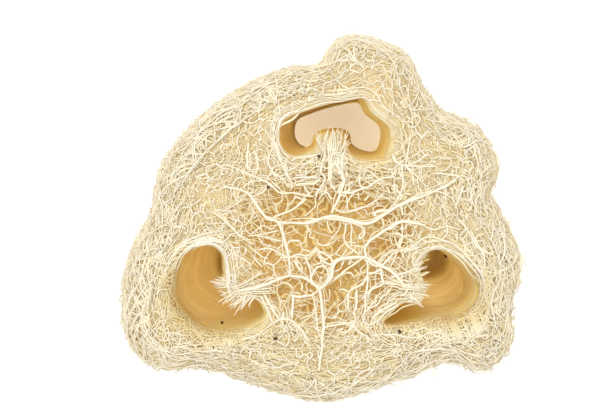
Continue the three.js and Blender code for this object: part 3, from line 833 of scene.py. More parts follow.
class LOOFAH_OT_mat(bpy.types.Operator):
    """Build the felt body behind the strands, with the lined chambers through it"""
    bl_idname = "loofah.mat"
    bl_label = "Fibre mat"

    def execute(self, context):
        look = settings()
        inset = look.mat_inset / MM
        turns = np.linspace(0, 1, MAT_TURNS, endpoint=False)
        places, faces, sunk, slots = [], [], [], []
        rings = {}
        total = 0
        for end, up in ((LOWER, False), (UPPER, True)):
            loops = [wall(turns, end.height, -inset)[:, :2], *end.rims]
            flat, triangles = face_triangles(loops, FACE_SPACING, end, 5)
            if up:
                gap = cut_gap(flat, look.band_gap / MM, look.core_depth / MM)
                height = cut_height(flat) - gap
            else:
                gap = 0.8 + 0.3 * noise(flat, 2.6, 4)
                gap = gap + 3.5 * coreness(flat) * smoothstep(0, 4, LOWER.rim(flat))
                height = gap
                triangles = triangles[:, ::-1]
            starts = total + np.concatenate([[0], np.cumsum([len(loop) for loop in loops])])
            rings[up] = [np.arange(a, b) for a, b in zip(starts, starts[1:])]
            places.append(np.concatenate([flat, height[:, None]], axis=1))
            faces.append(triangles + total)
            slots.append(np.zeros(len(triangles), int))
            # The mat turns golden with its depth below the cut and where the cut runs down to a chamber: partly
            # its own colour, partly painted shade in the hollows.
            sunk.append(np.clip(0.1 + gap / 6 + (0.16 * rim_drop(flat) if up else 0), 0, 1))
            total += len(flat)
        known = np.concatenate(places)
        for index, (lower, upper) in enumerate(zip(rings[False], rings[True])):
            shares = np.linspace(0, 1, 80) if index == 0 else self.lining_shares()
            levels = [lower]
            for share in shares[1:-1]:
                height = lerp(known[lower, 2], known[upper, 2], share)
                if index == 0:
                    ring = wall(turns, height, -inset)
                    felt = 0.45 * noise(ring, 2.4, 6) + 0.3 * noise(ring, 6.0, 7)
                    ring = wall(turns, height, -inset + felt * np.sin(np.pi * share) ** 0.5)
                    # The wall mat turns more golden where the felt sinks in and paler where it stands out:
                    # painted shade in the hollows.
                    deep = np.full(MAT_TURNS, 0.16) - 0.1 * felt
                else:
                    ring, deep = self.lining_ring(index - 1, height, known[upper, 2])
                places.append(ring)
                sunk.append(np.clip(deep, 0, 1))
                levels.append(total + np.arange(len(ring)))
                total += len(ring)
            levels.append(upper)
            for below, above in zip(levels, levels[1:]):
                after, beyond = np.roll(below, -1), np.roll(above, -1)
                quads = np.stack([below, after, beyond, above], axis=1)
                quads = quads if index == 0 else quads[:, ::-1]
                faces.append(quads[:, [0, 1, 2]])
                faces.append(quads[:, [0, 2, 3]])
                slots.append(np.full(2 * len(quads), 0 if index == 0 else 1))
        corners = np.concatenate(faces)
        attributes = {"sunk": np.concatenate(sunk), "tone": np.full(total, 0.5)}
        new_piece("loofah_mat", np.concatenate(places), corners.ravel(), np.full(len(corners), 3), attributes,
                  [mat_material(), lining_material()], np.concatenate(slots))
        return {"FINISHED"}

    @staticmethod
    def lining_shares():
        """Levels of a lining, close together where the light reaches."""
        return np.concatenate([np.linspace(0, 0.6, 16, endpoint=False), np.linspace(0.6, 1, 56)])

    @staticmethod
    def lining_ring(index, height, top):
        chamber = CHAMBERS[index]
        ring = chamber_loop(chamber, height, RIM_STEPS)
        points = np.concatenate([ring, height[:, None]], axis=1)
        below = top - height
        outward = unit(ring - ring.mean(axis=0))
        ripple = 0.05 * np.sin(2 * np.pi * (points[:, 2] / 3.4 + 0.9 * noise(points, 7.0, 21 + index)))
        ripple = ripple * smoothstep(2, 9, below)
        ripple = ripple + 0.35 * noise(points, 6.0, 31 + index) * smoothstep(0, 6, below)
        points[:, :2] += outward * ripple[:, None]
        # The lining's colour depth grows down the chamber and carries its painted shade.
        return points, np.clip(below / 60, 0, 1)


# Strands of the cut ends

def scatter(rng, count, end, weight):
    """Random places on a cut end, more of them where the weight is high."""
    low, high = end.outline.min(axis=0), end.outline.max(axis=0)
    kept = []
    while sum(len(k) for k in kept) < count:
        trial = rng.uniform(low, high, (4 * count, 2))
        good = (end.edge(trial) > 0.2) & (end.rim(trial) > 0.2) & (rng.random(4 * count) < weight(trial))
        kept.append(trial[good])
    return np.concatenate(kept)[:count]


def wander(rng, starts, steps, stride, end, edge_pull=1.0, rim_pull=1.0, curl=0.35, margin=0.1):
    """Fibres that grow step by step over a cut end. Near the outline and the rims they turn along them."""
    places = starts.copy()
    angle = rng.uniform(0, 2 * np.pi, len(places))
    heading = np.stack([np.cos(angle), np.sin(angle)], axis=1)
    bend = rng.normal(0, curl, len(places))
    line = [places.copy()]
    for _ in range(steps - 1):
        for measure, pull, reach in ((end.edge, edge_pull, 5.0), (end.rim, rim_pull, 3.0)):
            away = end.away(measure, places)
            along = np.stack([-away[:, 1], away[:, 0]], axis=1)
            along *= np.sign((along * heading).sum(axis=1, keepdims=True) + 1e-9)
            weight = pull * np.exp(-np.maximum(measure(places), 0) / reach)
            heading = unit(heading + along * weight[:, None] * 0.6)
        bend = 0.7 * bend + 0.7 * rng.normal(0, curl, len(places))
        heading = unit(heading + np.stack([-heading[:, 1], heading[:, 0]], axis=1) * bend[:, None])
        places = places + heading * stride
        for measure in (end.edge, end.rim):
            short = np.maximum(margin - measure(places), 0)
            places = places + end.away(measure, places) * short[:, None]
        line.append(places.copy())
    return np.stack(line, axis=1)


def cell_edges(points):
    """Edges of the cells round scattered points, as pairs of corners."""
    _, _, faces, _, _, _ = delaunay_2d_cdt([Vector(p) for p in points], [], [], 0, 1e-5)
    middles = np.array([points[list(face)].mean(axis=0) for face in faces])
    owners = {}
    for number, face in enumerate(faces):
        for a, b in zip(face, [*face[1:], face[0]]):
            owners.setdefault((min(a, b), max(a, b)), []).append(number)
    pairs = np.array([pair for pair in owners.values() if len(pair) == 2])
    return middles[pairs]


def curved(rng, ends, steps, bend):
    """Lines between pairs of points, each bent a little to one side."""
    share = np.linspace(0, 1, steps)
    run = ends[:, 1] - ends[:, 0]
    across = np.stack([-run[:, 1], run[:, 0]], axis=1)
    bow = rng.normal(0, bend, len(run))[:, None] * np.sin(np.pi * share)
    return ends[:, :1] + run[:, None] * share[:, None] + across[:, None] * bow[..., None]


def on_cut(flat, lift):
    """Points over the upper cut."""
    return np.concatenate([flat, (cut_height(flat) + lift)[..., None]], axis=-1)


def layer_noise(flat, size, seed):
    """Noise over a cut end that differs from layer to layer."""
    return noise(np.concatenate([flat, np.full((*flat.shape[:-1], 1), 8.3 * size * seed)], axis=-1), size, 50)


class LOOFAH_OT_band(bpy.types.Operator):
    """Lay the felted fibres and the fine net of the upper end's wall band"""
    bl_idname = "loofah.band"
    bl_label = "Wall band"

    # Felt layers: depth, share of the strands, shade and curl. Net layers: depth, cell, share kept and shade.
    # The shade turns deeper strands golden: partly their own colour, partly painted shade.
    FELT = ((0.35, 1.0, 0.36, 0.07), (0.15, 0.9, 0.16, 0.07))
    NET = ((0.2, 2.2, 0.3, 0.1), (0.0, 2.8, 0.6, 0.0))

    def execute(self, context):
        look = settings()
        radius = look.strand_radius / MM
        for index, (depth, share, sunk, curl) in enumerate(self.FELT):
            rng = np.random.default_rng(40 + index)
            count = int(share * look.band_strands)
            starts = scatter(rng, count, UPPER, lambda p: 1 - 0.97 * coreness(p))
            flat = wander(rng, starts, 13, 0.8, UPPER, edge_pull=2.0, curl=curl)
            flat = flat[self.clear(rng, flat)]
            fibres = Fibres()
            fibres.add(on_cut(flat, 0.25 * layer_noise(flat, 1.6, index) - depth),
                       radius * rng.uniform(0.38, 0.76, len(flat)), sides=3,
                       sunk=sunk + 0.1 * rim_drop(flat), seed=index)
            fibres.piece(f"band_felt_{index + 1}", strand_material())
        for index, (depth, cell, keep, sunk) in enumerate(self.NET):
            rng = np.random.default_rng(45 + index)
            points = scatter(rng, int(5200 / cell**2), UPPER, lambda p: 1 - 0.9 * coreness(p))
            ends = cell_edges(points)
            middle = ends.mean(axis=1)
            good = np.linalg.norm(ends[:, 0] - ends[:, 1], axis=1) < 2.0 * cell
            good &= (UPPER.rim(middle) > 0.3) & (UPPER.edge(middle) > 0.3) & (rng.random(len(ends)) < keep)
            good &= coreness(middle) < 0.5
            flat = curved(rng, ends[good], 6, 0.08)
            flat = flat[self.clear(rng, flat)]
            fibres = Fibres()
            fibres.add(on_cut(flat, 0.3 * layer_noise(flat, 2.4, 5 + index) - depth),
                       radius * rng.uniform(0.45, 0.9, len(flat)), tip=0.9, flare=0.45,
                       sunk=sunk + 0.1 * rim_drop(flat), seed=7 + index)
            fibres.piece(f"band_net_{index + 1}", strand_material())
        return {"FINISHED"}

    @staticmethod
    def clear(rng, flat):
        """Lines that keep off the rims. Where the cut runs down into a chamber, only some of them."""
        few = rng.random(len(flat)) < 0.4
        return (UPPER.rim(flat).min(axis=1) > 0.25) & (few | (rim_drop(flat).max(axis=1) < 1.2))


class LOOFAH_OT_veins(bpy.types.Operator):
    """Lay the veins, branches and twigs of the core, with the webs between them"""
    bl_idname = "loofah.veins"
    bl_label = "Core veins"

    # Routes, share of the vein radius, lift above the cut, and spacing of the side hairs
    KINDS = (
        (VEINS, 1.0, 0.1, 5.0), (BRANCHES, 0.58, 0.0, 6.0),
        (TWIGS, 0.4, -0.2, 9.0), (STRANDS, 0.5, 0.15, 5.0),
    )

    def execute(self, context):
        thick = settings().vein_radius / MM
        rng = np.random.default_rng(60)
        fibres = Fibres()
        for routes, share, lift, hairs in self.KINDS:
            for route in routes:
                self.vein(fibres, rng, route, thick * share * rng.uniform(0.85, 1.15), lift, hairs)
        for route in (*VEINS, *BRANCHES):
            beside = np.array(route) + rng.normal(0, 0.55, (len(route), 2))
            self.vein(fibres, rng, beside, thick * rng.uniform(0.22, 0.38), -0.1, 9.0)
        fibres.piece("core_veins", strand_material())
        return {"FINISHED"}

    @staticmethod
    def vein(fibres, rng, route, radius, lift, spacing):
        length = np.linalg.norm(np.diff(np.array(route), axis=0), axis=1).sum()
        steps = int(np.clip(length / 0.55, 7, 60))
        flat = smooth_curve(route, steps, closed=False)
        flat = flat + 0.16 * np.stack([noise(flat, 2.2, 61), noise(flat, 2.2, 62)], axis=1)
        path = on_cut(flat, lift + 0.25 * noise(flat, 4.0, 64))[None]
        fibres.add(path, radius, sides=6, tip=0.3, flare=0.6, tone=[rng.uniform(0.75, 1.0)])
        if radius > 0.2:
            # The web below a vein takes the golden colour of its depth, partly painted shade.
            web = path - np.array((0, 0, 1.5 + 2 * radius))
            fibres.add(web, 0.3 * radius, sides=6, tall=7.0, sunk=0.3, tone=[0.6])
        count = int(length / spacing)
        if count < 1:
            return
        for side in (-1, 1):
            at = rng.uniform(0.03, 0.97, count) * (steps - 1)
            low = np.minimum(at.astype(int), steps - 2)
            start = lerp(flat[low], flat[low + 1], (at - low)[:, None])
            tangent = unit(flat[low + 1] - flat[low])
            share = np.linspace(0, 1, 7)
            turn = side * np.radians(rng.uniform(40, 90, count))[:, None]
            turn = turn + rng.normal(0, 0.6, count)[:, None] * share
            step = (rng.uniform(1.2, 4.2, count) / 6)[:, None]
            move = np.stack([
                tangent[:, :1] * np.cos(turn) - tangent[:, 1:] * np.sin(turn),
                tangent[:, :1] * np.sin(turn) + tangent[:, 1:] * np.cos(turn)], axis=-1) * step[..., None]
            line = start[:, None] + np.cumsum(move, axis=1) - move[:, :1]
            clear = UPPER.rim(line).min(axis=1) > 0.3
            line, count = line[clear], int(clear.sum())
            dip = rng.uniform(0.2, 2.8, count)[:, None] * share**1.3
            thick = np.minimum(radius * 0.7, rng.uniform(0.07, 0.15, count))
            # Hairs that dip deeper turn more golden: partly their own colour, partly painted shade.
            fibres.add(on_cut(line, lift - 0.1) - np.stack([0 * dip, 0 * dip, dip], axis=-1), thick,
                       sides=4, tip=0.8, flare=0.5, sunk=dip / 9, seed=63)


class LOOFAH_OT_core_net(bpy.types.Operator):
    """Hang the nets of open cells in the core, one below the other"""
    bl_idname = "loofah.core_net"
    bl_label = "Core net"

    # Depth, cell size, strand radius, shade and share kept. The shade turns deeper nets golden: partly their
    # own colour, partly painted shade.
    LAYERS = ((0.7, 2.9, 0.15, 0.05, 0.62), (2.0, 3.8, 0.15, 0.3, 0.3), (4.2, 3.6, 0.3, 0.85, 0.6))
    # Middle and half sizes of the part that the upper net leaves open
    OPEN = ((-0.5, 0.0), (11.0, 4.5))

    def execute(self, context):
        fibres = Fibres()
        for index, (depth, cell, radius, sunk, keep) in enumerate(self.LAYERS):
            rng = np.random.default_rng(70 + index)
            points = scatter(rng, int(1900 / cell**2), UPPER, lambda p: coreness(p) ** 0.6)
            ends = cell_edges(points)
            middle = ends.mean(axis=1)
            good = np.linalg.norm(ends[:, 0] - ends[:, 1], axis=1) < 2.2 * cell
            good &= (UPPER.rim(middle) > 0.6) & (coreness(middle) > 0.06) & (rng.random(len(ends)) < keep)
            if index == 0:
                centre, half = np.array(self.OPEN)
                good &= np.linalg.norm((middle - centre) / half, axis=1) > 1
            flat = curved(rng, ends[good], 7, 0.12)
            open_depth = depth * smoothstep(0.0, 0.5, coreness(flat))
            paths = on_cut(flat, 0.7 * layer_noise(flat, 3.0, 10 + index) - open_depth)
            thick = radius * rng.uniform(0.6, 1.4, len(flat))
            fibres.add(paths, thick, sides=5, tip=0.9, flare=0.6,
                       sunk=sunk * open_depth / depth, seed=76 + index)
        fibres.piece("core_net", strand_material())
        return {"FINISHED"}


class LOOFAH_OT_rims(bpy.types.Operator):
    """Lay bundled strands along the sharp rims, and fibres over the soft rims on to the linings"""
    bl_idname = "loofah.rims"
    bl_label = "Chamber rims"

    # Bundled strands: how many, and from where to where round the rim
    BUNDLES = ((22, -0.08, 0.48), (22, -0.14, 0.08), (18, 0.78, 1.02))
    LIP_FIBRES = (60, 330, 330)
    # Single strands that hang free: route, distance below the cut and radius
    STRAYS = (
        ([(-10.6, 19.4), (-9.2, 21.1), (-6.8, 22.3), (-5.3, 23.8), (-4.6, 26.0)], 1.2, 0.28),
        ([(23.6, -31.6), (24.4, -33.4), (25.2, -34.6), (26.4, -35.8)], 5.0, 0.16),
        ([(44.0, -13.4), (44.9, -10.4), (45.3, -7.8), (46.1, -7.0)], 4.0, 0.15),
        ([(43.4, -12.8), (44.4, -9.6), (44.8, -6.8)], 3.4, 0.13),
        ([(1.0, -38.6), (1.8, -39.9), (2.6, -41.0)], 4.4, 0.14),
    )
    # Side-by-side strands over the right chamber's soft rim: line of the starts, line of the ends, and how many
    RAKE = ([(26.4, -22.6), (31.0, -21.9), (35.4, -18.4)], [(28.6, -26.6), (32.6, -27.2), (37.6, -24.2)], 34)
    TABLE = 720

    def execute(self, context):
        radius = settings().strand_radius / MM
        fibres = Fibres()
        for index, chamber in enumerate(CHAMBERS):
            rng = np.random.default_rng(80 + index)
            loop = smooth_curve(chamber["rim"], self.TABLE, closed=True)
            tangent = unit(np.roll(loop, -1, 0) - np.roll(loop, 1, 0))
            outward = np.stack([tangent[:, 1], -tangent[:, 0]], axis=1)
            self.bundle(fibres, rng, self.BUNDLES[index], loop, outward, radius)
            self.lip(fibres, rng, self.LIP_FIBRES[index], chamber, loop, outward, radius)
        for route, below, thick in self.STRAYS:
            stray = smooth_curve(route, 14, closed=False)
            height = np.full((14, 1), LENGTH - below)
            fibres.add(np.concatenate([stray, height], axis=1)[None], thick, tone=[1.0], sides=6)
        self.rake(fibres, radius)
        fibres.piece("chamber_rims", strand_material())
        return {"FINISHED"}

    def rake(self, fibres, radius):
        rng = np.random.default_rng(88)
        starts, ends, count = self.RAKE
        place = rng.integers(0, 64, count)
        lines = np.stack([smooth_curve(line, 64, closed=False)[place] for line in (starts, ends)], axis=1)
        lines = lines + rng.normal(0, 0.3, (count, 2, 2))
        flat = curved(rng, lines, 12, 0.05)
        # The strands are golden by the chamber and pale further out: partly their own colour, partly painted
        # shade.
        fade = 0.45 * np.linspace(1, 0, 12) + 0.08
        fibres.add(on_cut(flat, 0.1), radius * rng.uniform(0.45, 0.75, count), sunk=fade, sides=5, seed=89)

    def bundle(self, fibres, rng, bundle, loop, outward, radius):
        count, first, last = bundle
        steps = 30
        middle = rng.uniform(first, last, count)[:, None]
        span = rng.uniform(0.05, 0.13, count)[:, None]
        place = ((middle + span * np.linspace(-1, 1, steps)) * self.TABLE).astype(int) % self.TABLE
        gap = 0.15 + 2.6 * rng.random(count)[:, None] ** 1.5
        gap = gap + 0.5 * layer_noise(loop[place], 4.0, 3)
        gap = gap + 1.6 * rng.random(count)[:, None] * np.linspace(-1, 1, steps) ** 4
        flat = loop[place] + outward[place] * gap[..., None]
        lift = 0.35 - 0.2 * gap + 0.3 * layer_noise(flat, 2.2, 4)
        fibres.add(on_cut(flat, lift), radius * rng.uniform(0.4, 0.75, count), sides=5, seed=85)

    def lip(self, fibres, rng, count, chamber, loop, outward, radius):
        """Fibres that wander over the soft side of a rim, from the band down on to the lining."""
        steps, stride = 11, 0.75
        facing = np.clip(outward @ unit(np.array(chamber["opens"])) + 0.15, 0, 1)
        place = rng.choice(self.TABLE, count, p=facing / facing.sum()).astype(float)
        level = rng.uniform(-7.0, 5.0, count)
        girth = np.linalg.norm(loop - np.roll(loop, 1, 0), axis=1).sum()
        angle = rng.normal(0, 0.6, count) + np.pi * rng.integers(0, 2, count)
        places, levels = [], []
        for _ in range(steps):
            places.append(place)
            levels.append(level)
            angle = angle + rng.normal(0, 0.4, count)
            place = place + np.cos(angle) * stride * self.TABLE / girth
            level = np.clip(level + np.sin(angle) * stride, -9.0, 7.0)
        place = np.stack(places, axis=1).astype(int) % self.TABLE
        level = np.stack(levels, axis=1)
        flat = loop[place] + outward[place] * (np.maximum(level, 0) - 0.1)[..., None]
        paths = on_cut(flat, 0.1 + np.minimum(level, 0))
        up = np.concatenate([-outward[place], np.full((*place.shape, 1), 0.6)], axis=-1)
        # Fibres turn golden as they run down into the chamber: partly their own colour, partly painted shade.
        fade = np.clip(0.5 - level / 10, 0.1, 1.0)
        thick = radius * rng.uniform(0.35, 0.8, count) * np.where(level.min(axis=1) < -4, 0.7, 1.0)
        fibres.add(paths, thick, up=up, tip=0.3, sunk=fade, seed=86)


class LOOFAH_OT_fringes(bpy.types.Operator):
    """Grow the fringe of cut fibre ends on each ridge, and the strands that feed it"""
    bl_idname = "loofah.fringes"
    bl_label = "Ridge fringes"

    # Combs of each fringe: the line of the needles' feet, the line of their tips, and how many
    COMBS = (
        (([(-0.2, 14.6), (2.2, 15.2), (4.6, 14.6)], [(-1.2, 18.9), (2.4, 20.0), (6.0, 18.9)], 70),),
        (([(-19.0, -13.0), (-19.6, -14.2), (-20.4, -15.2)],
          [(-21.8, -12.0), (-23.6, -13.4), (-24.5, -15.2)], 34),
         ([(-20.9, -16.2), (-18.4, -16.8), (-15.1, -16.8)],
          [(-23.6, -16.4), (-21.0, -19.8), (-17.0, -19.8)], 40)),
        (([(20.4, -10.4), (20.3, -12.4), (20.1, -14.2)], [(23.0, -9.2), (23.4, -11.6), (23.4, -13.8)], 20),
         ([(20.1, -14.0), (19.9, -15.8), (19.0, -17.6)], [(23.6, -14.6), (23.5, -16.6), (22.4, -18.6)], 46)),
    )
    FEEDERS = 34

    def execute(self, context):
        fibres = Fibres()
        for index, chamber in enumerate(CHAMBERS):
            rng = np.random.default_rng(90 + index)
            forward = np.array(chamber["points"])
            across = np.array((-forward[1], forward[0]))
            ridge = np.array(chamber["ridge"])
            for comb in self.COMBS[index]:
                self.needles(fibres, rng, *comb)
            self.feeders(fibres, rng, ridge, forward, across)
        fibres.piece("ridge_fringes", strand_material())
        return {"FINISHED"}

    @staticmethod
    def needles(fibres, rng, feet, tips, count):
        steps = 8
        place = rng.integers(0, 64, count)
        start = smooth_curve(feet, 64, closed=False)[place] + rng.normal(0, 0.35, (count, 2))
        way = smooth_curve(tips, 64, closed=False)[place] + rng.normal(0, 0.45, (count, 2)) - start
        depth = 5.0 * rng.random(count) ** 1.8
        share = np.linspace(0, 1, steps)
        reach = rng.uniform(0.65, 1.15, count)[:, None] * share
        side = np.stack([-way[:, 1], way[:, 0]], axis=1)
        twist = rng.normal(0, 0.14, count)[:, None] * share**2
        flat = start[:, None] + way[:, None] * reach[..., None] + side[:, None] * twist[..., None]
        height = LENGTH - 0.5 - depth[:, None] - rng.uniform(-0.6, 1.6, count)[:, None] * share
        paths = np.concatenate([flat, height[..., None]], axis=-1)
        # Needles deeper below the cut are more golden: partly their own colour, partly painted shade.
        sunk = np.repeat(depth[:, None] / 18, steps, axis=1)
        fibres.add(paths, rng.uniform(0.10, 0.19, count), sides=5, tip=0.25, sunk=sunk, seed=95)

    def feeders(self, fibres, rng, ridge, forward, across):
        count, steps = self.FEEDERS, 12
        share = np.linspace(0, 1, steps)
        spread = rng.normal(0, 2.6, count)[:, None]
        back = rng.uniform(3, 9, count)[:, None]
        along = -back * (1 - share) + 1.6 * share
        offset = spread * (0.4 + 0.6 * (1 - share) ** 1.5) + 0.2 * rng.normal(0, 1, count)[:, None]
        flat = ridge + forward * along[..., None] + across * offset[..., None]
        flat = flat + 0.25 * np.stack([noise(flat, 2.0, 96), noise(flat, 2.0, 97)], axis=-1)
        lift = 0.1 - rng.uniform(0, 1.6, count)[:, None] * np.ones(steps)
        fibres.add(on_cut(flat, lift), rng.uniform(0.1, 0.22, count), sides=5, tip=0.5, sunk=0.05, seed=98)


# Outside

class LOOFAH_OT_outer_net(bpy.types.Operator):
    """Wind the net of strands round the outside"""
    bl_idname = "loofah.outer_net"
    bl_label = "Outer net"

    # Name, share of the strands, slope and its spread in degrees, distance below the wall, and shade. The shade
    # turns the lower layers golden: partly their own colour, partly painted shade.
    LAYERS = (
        ("net_lengthwise", 0.9, 84, 9, 0.75, 0.12),
        ("net_rising", 1.0, 42, 14, 0.35, 0.05),
        ("net_falling", 1.0, -38, 15, 0.2, 0.03),
        ("net_hoops", 0.8, 8, 12, 0.0, 0.0),
    )
    STEPS, STRIDE = 20, 1.95

    def execute(self, context):
        look = settings()
        for index, (name, share, slope, spread, below, sunk) in enumerate(self.LAYERS):
            rng = np.random.default_rng(110 + index)
            count = int(share * look.net_strands)
            turn = rng.random(count)
            rise = rng.uniform(-1.5, LENGTH + 2.0, count)
            lean = np.radians(rng.normal(slope, spread, count)) + np.pi * rng.integers(0, 2, count)
            bend = np.zeros(count)
            line = [(turn, rise)]
            for _ in range(self.STEPS - 1):
                bend = 0.75 * bend + rng.normal(0, 0.16, count)
                home = np.radians(slope)
                pull = np.sin(2 * (home - lean)) * 0.09
                lean = lean + bend * 0.55 + pull
                turn = turn + np.cos(lean) * self.STRIDE / GIRTH
                rise = rise + np.sin(lean) * self.STRIDE
                beyond = (rise > LENGTH + 2.6) | (rise < -1.5)
                lean = np.where(beyond, -lean, lean)
                rise = np.clip(rise, -1.5, LENGTH + 2.6)
                line.append((turn, rise))
            turns, rises = (np.stack(column, axis=1) for column in zip(*line))
            weave = 0.3 * np.sin(2 * np.pi * (GIRTH * turns / 6.1 + rises / 5.3 + index / 4))
            paths = skin(turns, rises, weave - below)
            paths[..., 2] = np.maximum(paths[..., 2], 0.35)
            outward = skin(turns, rises, weave - below + 1.0) - paths
            radius = look.strand_radius / MM * rng.uniform(0.5, 1.2, count)
            fibres = Fibres()
            fibres.add(paths, radius, up=outward, sunk=sunk, seed=index)
            fibres.piece(name, strand_material())
        return {"FINISHED"}


class LOOFAH_OT_loose_fibres(bpy.types.Operator):
    """Stand loose fibre ends off the outside and off the upper edge"""
    bl_idname = "loofah.loose_fibres"
    bl_label = "Loose fibres"

    def execute(self, context):
        look = settings()
        rng = np.random.default_rng(130)
        count, steps = look.loose_fibres, 5
        at_edge = rng.random(count) < 0.45
        turn = rng.random(count)
        high = rng.uniform(LENGTH - 12, LENGTH + 2.5, count)
        rise = np.where(at_edge, high, rng.uniform(2, LENGTH - 6, count))
        way = rng.uniform(0, 2 * np.pi, count)
        reach = rng.uniform(2.0, 5.5, count)[:, None]
        share = np.linspace(0, 1, steps)
        curl = rng.normal(0, 0.9, count)[:, None]
        heading = way[:, None] + curl * share
        turns = turn[:, None] + np.cumsum(np.cos(heading) * reach / steps, axis=1) / GIRTH
        rises = rise[:, None] + np.cumsum(np.sin(heading) * reach / steps, axis=1)
        off = rng.uniform(0.1, 0.8, count)[:, None] * np.sin(np.pi * np.clip(share * 0.8, 0, 1))
        off = np.where((rng.random(count) < 0.3)[:, None], off + 0.9 * share**1.5, off)
        rises = np.clip(rises, 0.5, LENGTH + 3.0)
        paths = skin(turns, rises, off - 0.1)
        paths[..., 2] = np.maximum(paths[..., 2], 0.3)
        outward = skin(turns, rises, off + 1.0) - paths
        radius = look.hair_radius / MM * rng.uniform(0.7, 1.5, count)
        fibres = Fibres()
        fibres.add(paths, radius, up=outward, sides=3, tip=0.3, seed=131)
        fibres.piece("loose_fibres", strand_material())
        return {"FINISHED"}


class LOOFAH_OT_base_net(bpy.types.Operator):
    """Lay the strands of the lower cut end"""
    bl_idname = "loofah.base_net"
    bl_label = "Lower end net"

    # Height, share of the strands, and shade: the lower layer is more golden, partly its own colour and partly
    # painted shade.
    LAYERS = ((1.1, 0.55, 0.2), (0.45, 0.55, 0.03))

    def execute(self, context):
        look = settings()
        fibres = Fibres()
        for index, (height, share, sunk) in enumerate(self.LAYERS):
            rng = np.random.default_rng(140 + index)
            count = int(share * look.band_strands)
            starts = scatter(rng, count, LOWER, lambda p: 1 - 0.4 * coreness(p))
            flat = wander(rng, starts, 8, 1.4, LOWER, curl=0.35, margin=0.5)
            up = height + 0.12 * noise(flat, 1.9, 141)
            radius = look.strand_radius / MM * rng.uniform(0.7, 1.2, count)
            fibres.add(np.concatenate([flat, up[..., None]], -1), radius, sides=3, sunk=sunk, seed=142 + index)
        fibres.piece("lower_end_net", strand_material())
        return {"FINISHED"}


class LOOFAH_OT_flecks(bpy.types.Operator):
    """Leave small bits of dark seed coat in the chambers and on the cut"""
    bl_idname = "loofah.flecks"
    bl_label = "Seed flecks"

    ON_CUT = [(-10.4, -26.5), (-0.7, 14.2), (17.3, -24.9), (-12.0, 7.3)]
    IN_CHAMBER = [(1, (-22.2, -23.3)), (2, (26.9, -8.6))]

    def execute(self, context):
        fibres = Fibres()
        rng = np.random.default_rng(150)
        spots = [*on_cut(np.array(self.ON_CUT), 0.35)]
        spots += [self.lining_spot(CHAMBERS[index], np.array(seen)) for index, seen in self.IN_CHAMBER]
        for spot in spots:
            angle = rng.uniform(0, np.pi)
            way = np.array((math.cos(angle), math.sin(angle), 0.0))
            reach = np.linspace(-0.5, 0.5, 6)[:, None] * rng.uniform(0.7, 1.1)
            fibres.add((spot + way * reach)[None], 0.34, sides=7, tip=0.25, tall=0.6, tone=[0.5])
        fibres.piece("seed_flecks", fleck_material())
        return {"FINISHED"}

    @staticmethod
    def lining_spot(chamber, seen):
        """Place on a lining that the camera sees in line with a point of the cut."""
        best = None
        eye = np.array(EYE)
        for below in np.arange(1.0, 60.0, 0.5):
            loop = chamber_loop(chamber, LENGTH - below, 180)
            shrink = EYE_HEIGHT * LENGTH / (EYE_HEIGHT * LENGTH + below)
            gap = np.linalg.norm(eye + (loop - eye) * shrink - seen, axis=1)
            nearest = int(gap.argmin())
            if best is None or gap[nearest] < best[0]:
                inward = unit(loop.mean(axis=0) - loop[nearest]) * 0.4
                best = (gap[nearest], np.array((*(loop[nearest] + inward), LENGTH - below)))
        return best[1]


# Stage

